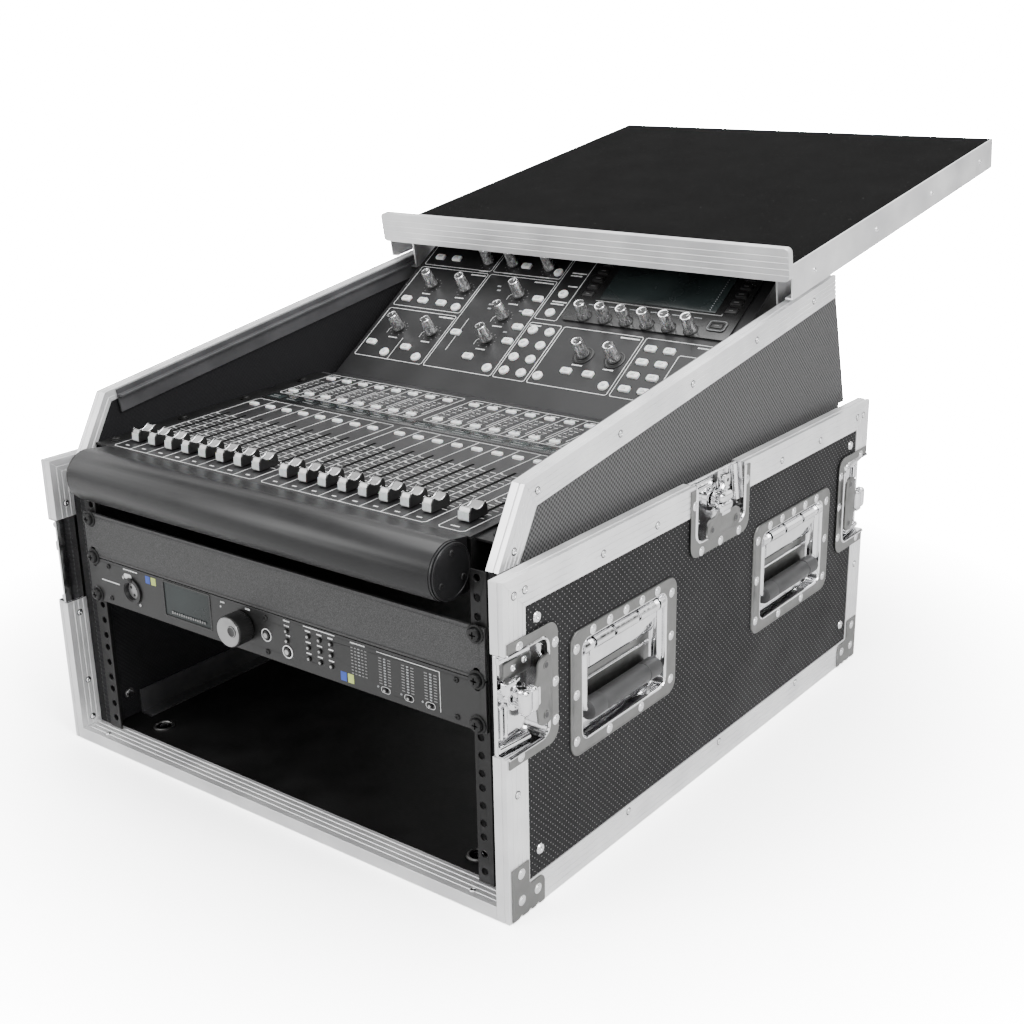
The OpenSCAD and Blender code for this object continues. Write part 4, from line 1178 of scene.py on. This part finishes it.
def knob_collars(spots):
    """Shallow rings round the two monitor knobs and under the others."""
    s = Shape(MAT["plastic"], MAT["knob"])
    for node, x, y in spots:
        s.paint = 0
        if node.startswith("monitor"):
            s.turned([(11.6, 0), (11.4, 0.9), (10.2, 1.1), (9.6, 0.5), (8.0, 0.45), (7.4, 0.9), (0, 0.95)],
                     (x, y), 32)
        elif not node.startswith("screen"):
            s.turned([(7.9, 0), (7.7, 0.5), (7.0, 0.8), (0, 0.85)], (x, y), 28)
    s.piece("knob_collars", "case", PANEL)


def screen_details():
    """Screen glass, ledge below it, lamp column and navigation pad."""
    s = Shape(MAT["screen"], MAT["cap"], MAT["lamp"], MAT["plastic"])
    s.slab(136, 62.4, 2.0, 2.2, 3.1, (109, 167.5), 0.3)
    s.paint = 1
    s.skin([rounded(142, 1.2, 0.5, z, (109, 201.2)) for z in (1.9, 3.0)])
    s.path([(38, 134.4), (181, 134.4)], 0.7, 2.0, 2.5)
    s.path([(181, 134.4), (184.5, 134.4), (184.5, 137)], 0.7, 2.0, 2.4)
    s.paint = 2
    for i in range(15):
        s.turned([(0.6, 3.0), (0.5, 3.35), (0, 3.4)], (169.7, 139.5 + 3.1 * i), 8)
    s.paint = 3
    pad = rounded(17.4, 11.6, 3.0, 0, (187, 120))
    s.path([(p.x, p.y) for p in pad], 3.2, 2.0, 3.0, closed=True)
    s.paint = 2
    s.path([(p.x, p.y) for p in rounded(18.6, 12.6, 3.2, 0, (187, 120), 3)], 0.3, 3.0, 3.1, closed=True)
    for i in range(6):
        caption(s, 33 + 24.9 * i, 128, 9, 1.1, 2.1)
    s.piece("screen_details", "case", PANEL)


def roll_ends():
    """Caps on the ends of the front roll, with their small screws."""
    low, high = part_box("mixer_roll")
    s = Shape(MAT["roll"], MAT["steel"])
    mid_y = FRONT_Y + 10 * MM
    mid_z = low.z + 24 * MM
    for sign in (-1, 1):
        place = side_frame(mid_y, mid_z, high.x)
        s.place = in_mm(flipped(place) if sign < 0 else place)
        s.paint = 0
        s.turned([(22.6, -1.2), (22.9, 0.2), (22.4, 0.8), (20.6, 0.9), (20.2, 0.5), (0, 0.5)], steps=48)
        s.paint = 1
        for a in (90, 210, 330):
            spot = (15 * math.cos(math.radians(a)), 15 * math.sin(math.radians(a)))
            screw_head(s, 2.7, 0.4, 1.6, spot)
    s.piece("roll_end_caps", "case")


def console():
    strips, main = faders()
    deck_keys()
    slot_liners(strips, main)
    deck_print(strips, main)
    scribble_strip(strips)
    spots = knobs()
    panel_keys()
    panel_print(spots)
    knob_collars(spots)
    screen_details()
    roll_ends()


# ------------------------------------------------------------------ signal processor

def processor_print():
    """Printing on the processor's face: rules, marks above keys, colour squares and meter scales."""
    s = Shape(MAT["print"], MAT["faint"], MAT["blue"], MAT["lime"], MAT["lamp"])
    caption(s, -190, 41.2, 20, 1.4)
    s.skin([rounded(11, 5.2, 2.4, z, (-184.5, 34.6)) for z in (0, INK)])
    s.bar((-224, 23.4), (-198, 23.4), 1.1, 0, INK)
    for x, y, w, h, paint in ((-155.4, 37.8, 6.2, 7.4, 2), (-147.4, 37.8, 6.6, 7.4, 3),
                              (90.2, 8.2, 6.6, 8.2, 2), (98.4, 8.2, 6.6, 8.2, 3)):
        s.paint = paint
        s.skin([rounded(w, h, 0.4, z, (x, y)) for z in (0, INK)])
    s.paint = 0
    for x, y, length, high in ((-56.5, 40, 5, 1.6), (-57.6, 35.4, 1.8, 1.6), (-25, 41, 7, 1.9),
                               (22, 41.7, 7.5, 1.5), (22.5, 37.2, 6.5, 1.3), (24, 28.4, 5, 1.2)):
        caption(s, x, y, length, high)
    for x in (51, 64.3, 77.2):
        for z in (13.6, 23.8, 34):
            s.bar((x - 3.2, z + 4.6), (x + 2.6, z + 4.6), 1.2, 0, INK)
    s.bar((46, 42.4), (82, 42.4), 0.8, 0, INK)
    caption(s, 99.7, 41.4, 16, 1.3)
    s.path([(128.5, 40.6), (195, 40.6), (195, 5.6)], 0.5, 0, INK)
    meters(s)
    for x in (137, 162, 184.6):
        s.paint = 0
        s.path([(p.x, p.y) for p in rounded(9.6, 5.4, 2.6, 0, (x, 8.3), 4)], 0.35, 0, INK, closed=True)
        s.paint = 4
        s.turned([(1.0, 0), (0.9, 0.5), (0, 0.6)], (x - 8, 9.8), 12)
    s.paint = 0
    for x, z in ((0, 22.4), (25, 13.1)):
        s.path([(p.x, p.y) for p in disc(5.6, 0, (x, z), 28)], 0.9, 0, 0.5, closed=True)
    s.piece("processor_print", "case", FACE)


def meters(s):
    """Ladders of small lamps with their scales."""
    for i in range(9):
        y = 14 + 2.9 * i
        for j in range(5):
            s.paint = 4 if j == 2 else 1
            s.bar((100 + 3.8 * j, y), (102.2 + 3.8 * j, y), 0.9, 0, 0.2)
    for x in (137, 161.5, 185.5):
        for i in range(10):
            y = 13.4 + 2.5 * i
            s.paint = 1
            s.bar((x - 6.6, y), (x - 3.4, y), 0.8, 0, INK)
            s.bar((x + 3.2, y), (x + 6.4, y), 0.8, 0, INK)
            s.paint = 4
            s.bar((x - 1.1, y), (x + 1.1, y), 1.2, 0, 0.25)


def face_trim():
    """Small cover screws, display bezel, and a row of faint marks on the display."""
    s = Shape(MAT["steel"], MAT["frame"], MAT["faint"])
    for x in (-212, 0, 212):
        for z in (6.6, 38.6):
            s.paint = 0
            screw_head(s, 2.6, 0, 1.3, (x, z))
    s.paint = 1
    s.skin([rounded(w, h, r, z, (-102.5, 25.5)) for w, h, r, z in (
        (65, 36, 1.6, 0.0), (64.4, 35.4, 1.4, 0.5), (61.4, 32.4, 0.8, 0.5), (61, 32, 0.8, -0.4))],
        caps=False, loop=True)
    s.paint = 2
    for i in range(15):
        s.bar((-124 + 3.1 * i, 13.6), (-122 + 3.1 * i, 13.6), 2.0 if i % 4 else 2.6, 0.55, 0.65)
    s.piece("face_trim", "case", FACE)


def processor_keys():
    s = Shape(MAT["plastic"], MAT["cap"], MAT["chrome"])
    for low, high in islands("processor_buttons"):
        mid = (low + high) / 2
        x, z = mid.x / MM, (mid.z - FACE.translation.z) / MM
        r = (high.z - low.z) / 2 / MM
        s.paint = 0
        s.turned([(r - 0.1, -4.6), (r - 0.1, 1.3), (r - 0.5, 1.7), (0, 1.75)], (x, z), 20)
        s.paint = 1
        s.turned([(0.62 * r, 1.5), (0.6 * r, 1.95), (0, 1.98)], (x, z), 16)
    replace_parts(s.piece("face_keys", "processor_buttons", FACE), "processor_buttons")


def big_encoder():
    """Large knob with a finger dimple and a ribbed edge."""
    spot = JOINTS["processor_knob_turn"]["pos_m"]
    s = Shape(MAT["plastic"], MAT["frame"], MAT["plate"], MAT["grey_metal"])
    r = 15
    ribs = 44
    rings = []
    for z, q in ((0.9, r - 1.2), (1.6, r - 0.5), (14.5, r - 0.4), (16.2, r - 0.5)):
        ring = []
        for i in range(ribs * 2):
            a = math.pi * i / ribs
            reach = q - (0.3 if i % 2 and 1.2 < z < 15 else 0)
            ring.append((reach * math.cos(a), reach * math.sin(a), z))
        rings.append(ring)
    for z, q in ((17.6, r - 1.1), (18.6, r - 2.6), (19.0, r - 4.4)):
        rings.append([(q * math.cos(math.pi * i / ribs), q * math.sin(math.pi * i / ribs), z)
                      for i in range(ribs * 2)])
    s.skin(rings)
    s.paint = 3
    s.turned([(13.6, 17.8), (13.2, 18.5), (11.0, 19.2), (0, 19.3)], steps=44)
    centre = (6.0, 2.4)
    # the finger dimple is drawn nearly flat in dark material: painted shade of its hollow
    s.paint = 1
    s.turned([(5.5, 19.0), (5.3, 19.5), (4.8, 19.7), (4.3, 19.55), (0, 19.35)], centre, 28)
    # thin plated ring round the dimple: painted highlight of its rim
    s.paint = 2
    s.path([(p.x, p.y) for p in disc(4.7, 0, centre, 28)], 0.35, 19.6, 19.8, closed=True)
    place = front_frame(spot[0], FACE_LOW.y, spot[2])
    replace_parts(s.piece("encoder_cap", "processor_knob", place), "processor_knob")


def microphone_socket():
    """Bezel of the XLR socket, with its latch tab and two rivets."""
    s = Shape(MAT["plastic"], MAT["plate"], MAT["steel"], MAT["grey_metal"])
    x, z = -180, 21
    s.path([(p.x, p.y) for p in disc(11.4, 0, (x, z), 36)], 3.2, 1.0, 1.9, closed=True)
    s.paint = 3
    s.turned([(8.5, -4.6), (8.5, -2.6), (8.0, -2.2), (0, -2.2)], (x, z), 32)
    # three flat black discs for the pin holes: painted shade of the holes
    s.paint = 2
    for a in (30, 150, 270):
        spot = (x + 4.6 * math.cos(math.radians(a)), z + 4.6 * math.sin(math.radians(a)))
        s.turned([(1.5, -2.4), (1.5, -2.1), (0, -2.05)], spot, 12)
    s.paint = 2
    s.slab(6, 4, 1.2, 1.0, 2.6, (x, z + 11.4), 0.5)
    s.paint = 1
    for sx, sz in ((-1, 1), (1, -1)):
        s.turned([(1.7, 0), (1.6, 0.7), (0.9, 1.0), (0, 1.0)], (x + sx * 10.6, z + sz * 11.6), 14)
    s.piece("socket_bezel", "case", FACE)


def processor():
    processor_print()
    face_trim()
    processor_keys()
    big_encoder()
    microphone_socket()


# ------------------------------------------------------------------ stage

def glow_floor():
    """Pale floor, seen brighter than it lights, that fades to pure white away from the case."""
    mat = bpy.data.materials.new("floor")
    mat.use_nodes = True
    tree = mat.node_tree
    tree.nodes.clear()
    path = tree.nodes.new("ShaderNodeLightPath").outputs["Is Camera Ray"]
    away = tree.nodes.new("ShaderNodeVectorMath")
    away.operation = "LENGTH"
    tree.links.new(tree.nodes.new("ShaderNodeNewGeometry").outputs["Position"], away.inputs[0])

    def ramp(value, near, far, low, high):
        node = tree.nodes.new("ShaderNodeMapRange")
        node.interpolation_type = "SMOOTHSTEP"
        tree.links.new(value, node.inputs[0])
        for i, v in enumerate((near, far, low, high), 1):
            node.inputs[i].default_value = v
        return node.outputs[0]

    diffuse = tree.nodes.new("ShaderNodeBsdfDiffuse")
    tree.links.new(ramp(path, 0, 1, 0.8, FLOOR_LIFT), diffuse.inputs[0])
    white = tree.nodes.new("ShaderNodeEmission")
    lift = tree.nodes.new("ShaderNodeMath")
    lift.operation = "MULTIPLY"
    tree.links.new(ramp(away.outputs["Value"], 0.3, 1.5, 0.0, 40.0), lift.inputs[0])
    tree.links.new(path, lift.inputs[1])
    tree.links.new(lift.outputs[0], white.inputs[1])
    both = tree.nodes.new("ShaderNodeAddShader")
    tree.links.new(diffuse.outputs[0], both.inputs[0])
    tree.links.new(white.outputs[0], both.inputs[1])
    out = tree.nodes.new("ShaderNodeOutputMaterial")
    tree.links.new(both.outputs[0], out.inputs[0])
    return mat


def studio_world():
    """White to the camera, bright to mirrors, and dimmer for soft light from below."""
    world = bpy.data.worlds.new("studio")
    bpy.context.scene.world = world
    world.use_nodes = True
    tree = world.node_tree
    back = tree.nodes["Background"]
    back.inputs["Color"].default_value = (1, 1, 1, 1)
    path = tree.nodes.new("ShaderNodeLightPath").outputs
    height = tree.nodes.new("ShaderNodeSeparateXYZ")
    coord = tree.nodes.new("ShaderNodeTexCoord").outputs["Generated"]
    tree.links.new(coord, height.inputs[0])
    strength = None
    panels = tree.nodes.new("ShaderNodeTexNoise")
    panels.inputs["Scale"].default_value = 2.3
    panels.inputs["Detail"].default_value = 0
    tree.links.new(coord, panels.inputs["Vector"])
    up, patch = height.outputs["Z"], panels.outputs[0]
    for source, near, far, low, high, ray in (
            (up, -0.1, 0.8, 0.25, 0.5, None), (patch, 0.44, 0.56, 0.10, 2.3, "Is Glossy Ray"),
            (up, -1, 1, 30, 30, "Is Camera Ray")):
        ramp = tree.nodes.new("ShaderNodeMapRange")
        for i, v in enumerate((near, far, low, high), 1):
            ramp.inputs[i].default_value = v
        tree.links.new(source, ramp.inputs[0])
        if ray is None:
            strength = ramp.outputs[0]
            continue
        pick = tree.nodes.new("ShaderNodeMix")
        tree.links.new(path[ray], pick.inputs[0])
        tree.links.new(strength, pick.inputs[2])
        tree.links.new(ramp.outputs[0], pick.inputs[3])
        strength = pick.outputs[0]
    tree.links.new(strength, back.inputs["Strength"])


FLOOR_LIFT = 3.2


def lights():
    for name, spot, size, watts in (
            ("key", (2.4, -0.5, 2.2), 1.6, 120), ("top", (-0.2, 0.4, 2.9), 2.2, 80),
            ("front", (-1.5, -2.6, 1.4), 1.8, 60)):
        lamp = bpy.data.lights.new(name, "AREA")
        lamp.size = size
        lamp.energy = watts
        obj = bpy.data.objects.new(name, lamp)
        obj.location = spot
        obj.rotation_euler = (Vector((0, 0, 0.2)) - Vector(spot)).to_track_quat("-Z", "Y").to_euler()
        bpy.context.scene.collection.objects.link(obj)


def camera():
    """A long lens at the front right corner, above the console."""
    data = bpy.data.cameras.new("camera")
    data.lens = 51.42
    data.clip_end = 200
    obj = bpy.data.objects.new("camera", data)
    look = Vector((-0.5791, 0.7463, -0.3282)).normalized()
    up = Vector((0.7940, 0.6077, -0.0192)).cross(look).normalized()
    right = look.cross(up)
    obj.matrix_world = Matrix.Translation((0.8772, -1.0759, 0.6818)) @ Matrix(
        (right, up, -look)).transposed().to_4x4()
    bpy.context.scene.collection.objects.link(obj)
    bpy.context.scene.camera = obj


def stage():
    """Pale floor, soft lights and the camera."""
    bpy.ops.mesh.primitive_plane_add(size=60, location=(0, 0, -0.0005))
    floor = bpy.context.object
    floor.name = "floor"
    floor.data.materials.append(glow_floor())
    studio_world()
    lights()
    camera()


dress_cad()
hardware()
rack_screws()
console()
processor()
stage()
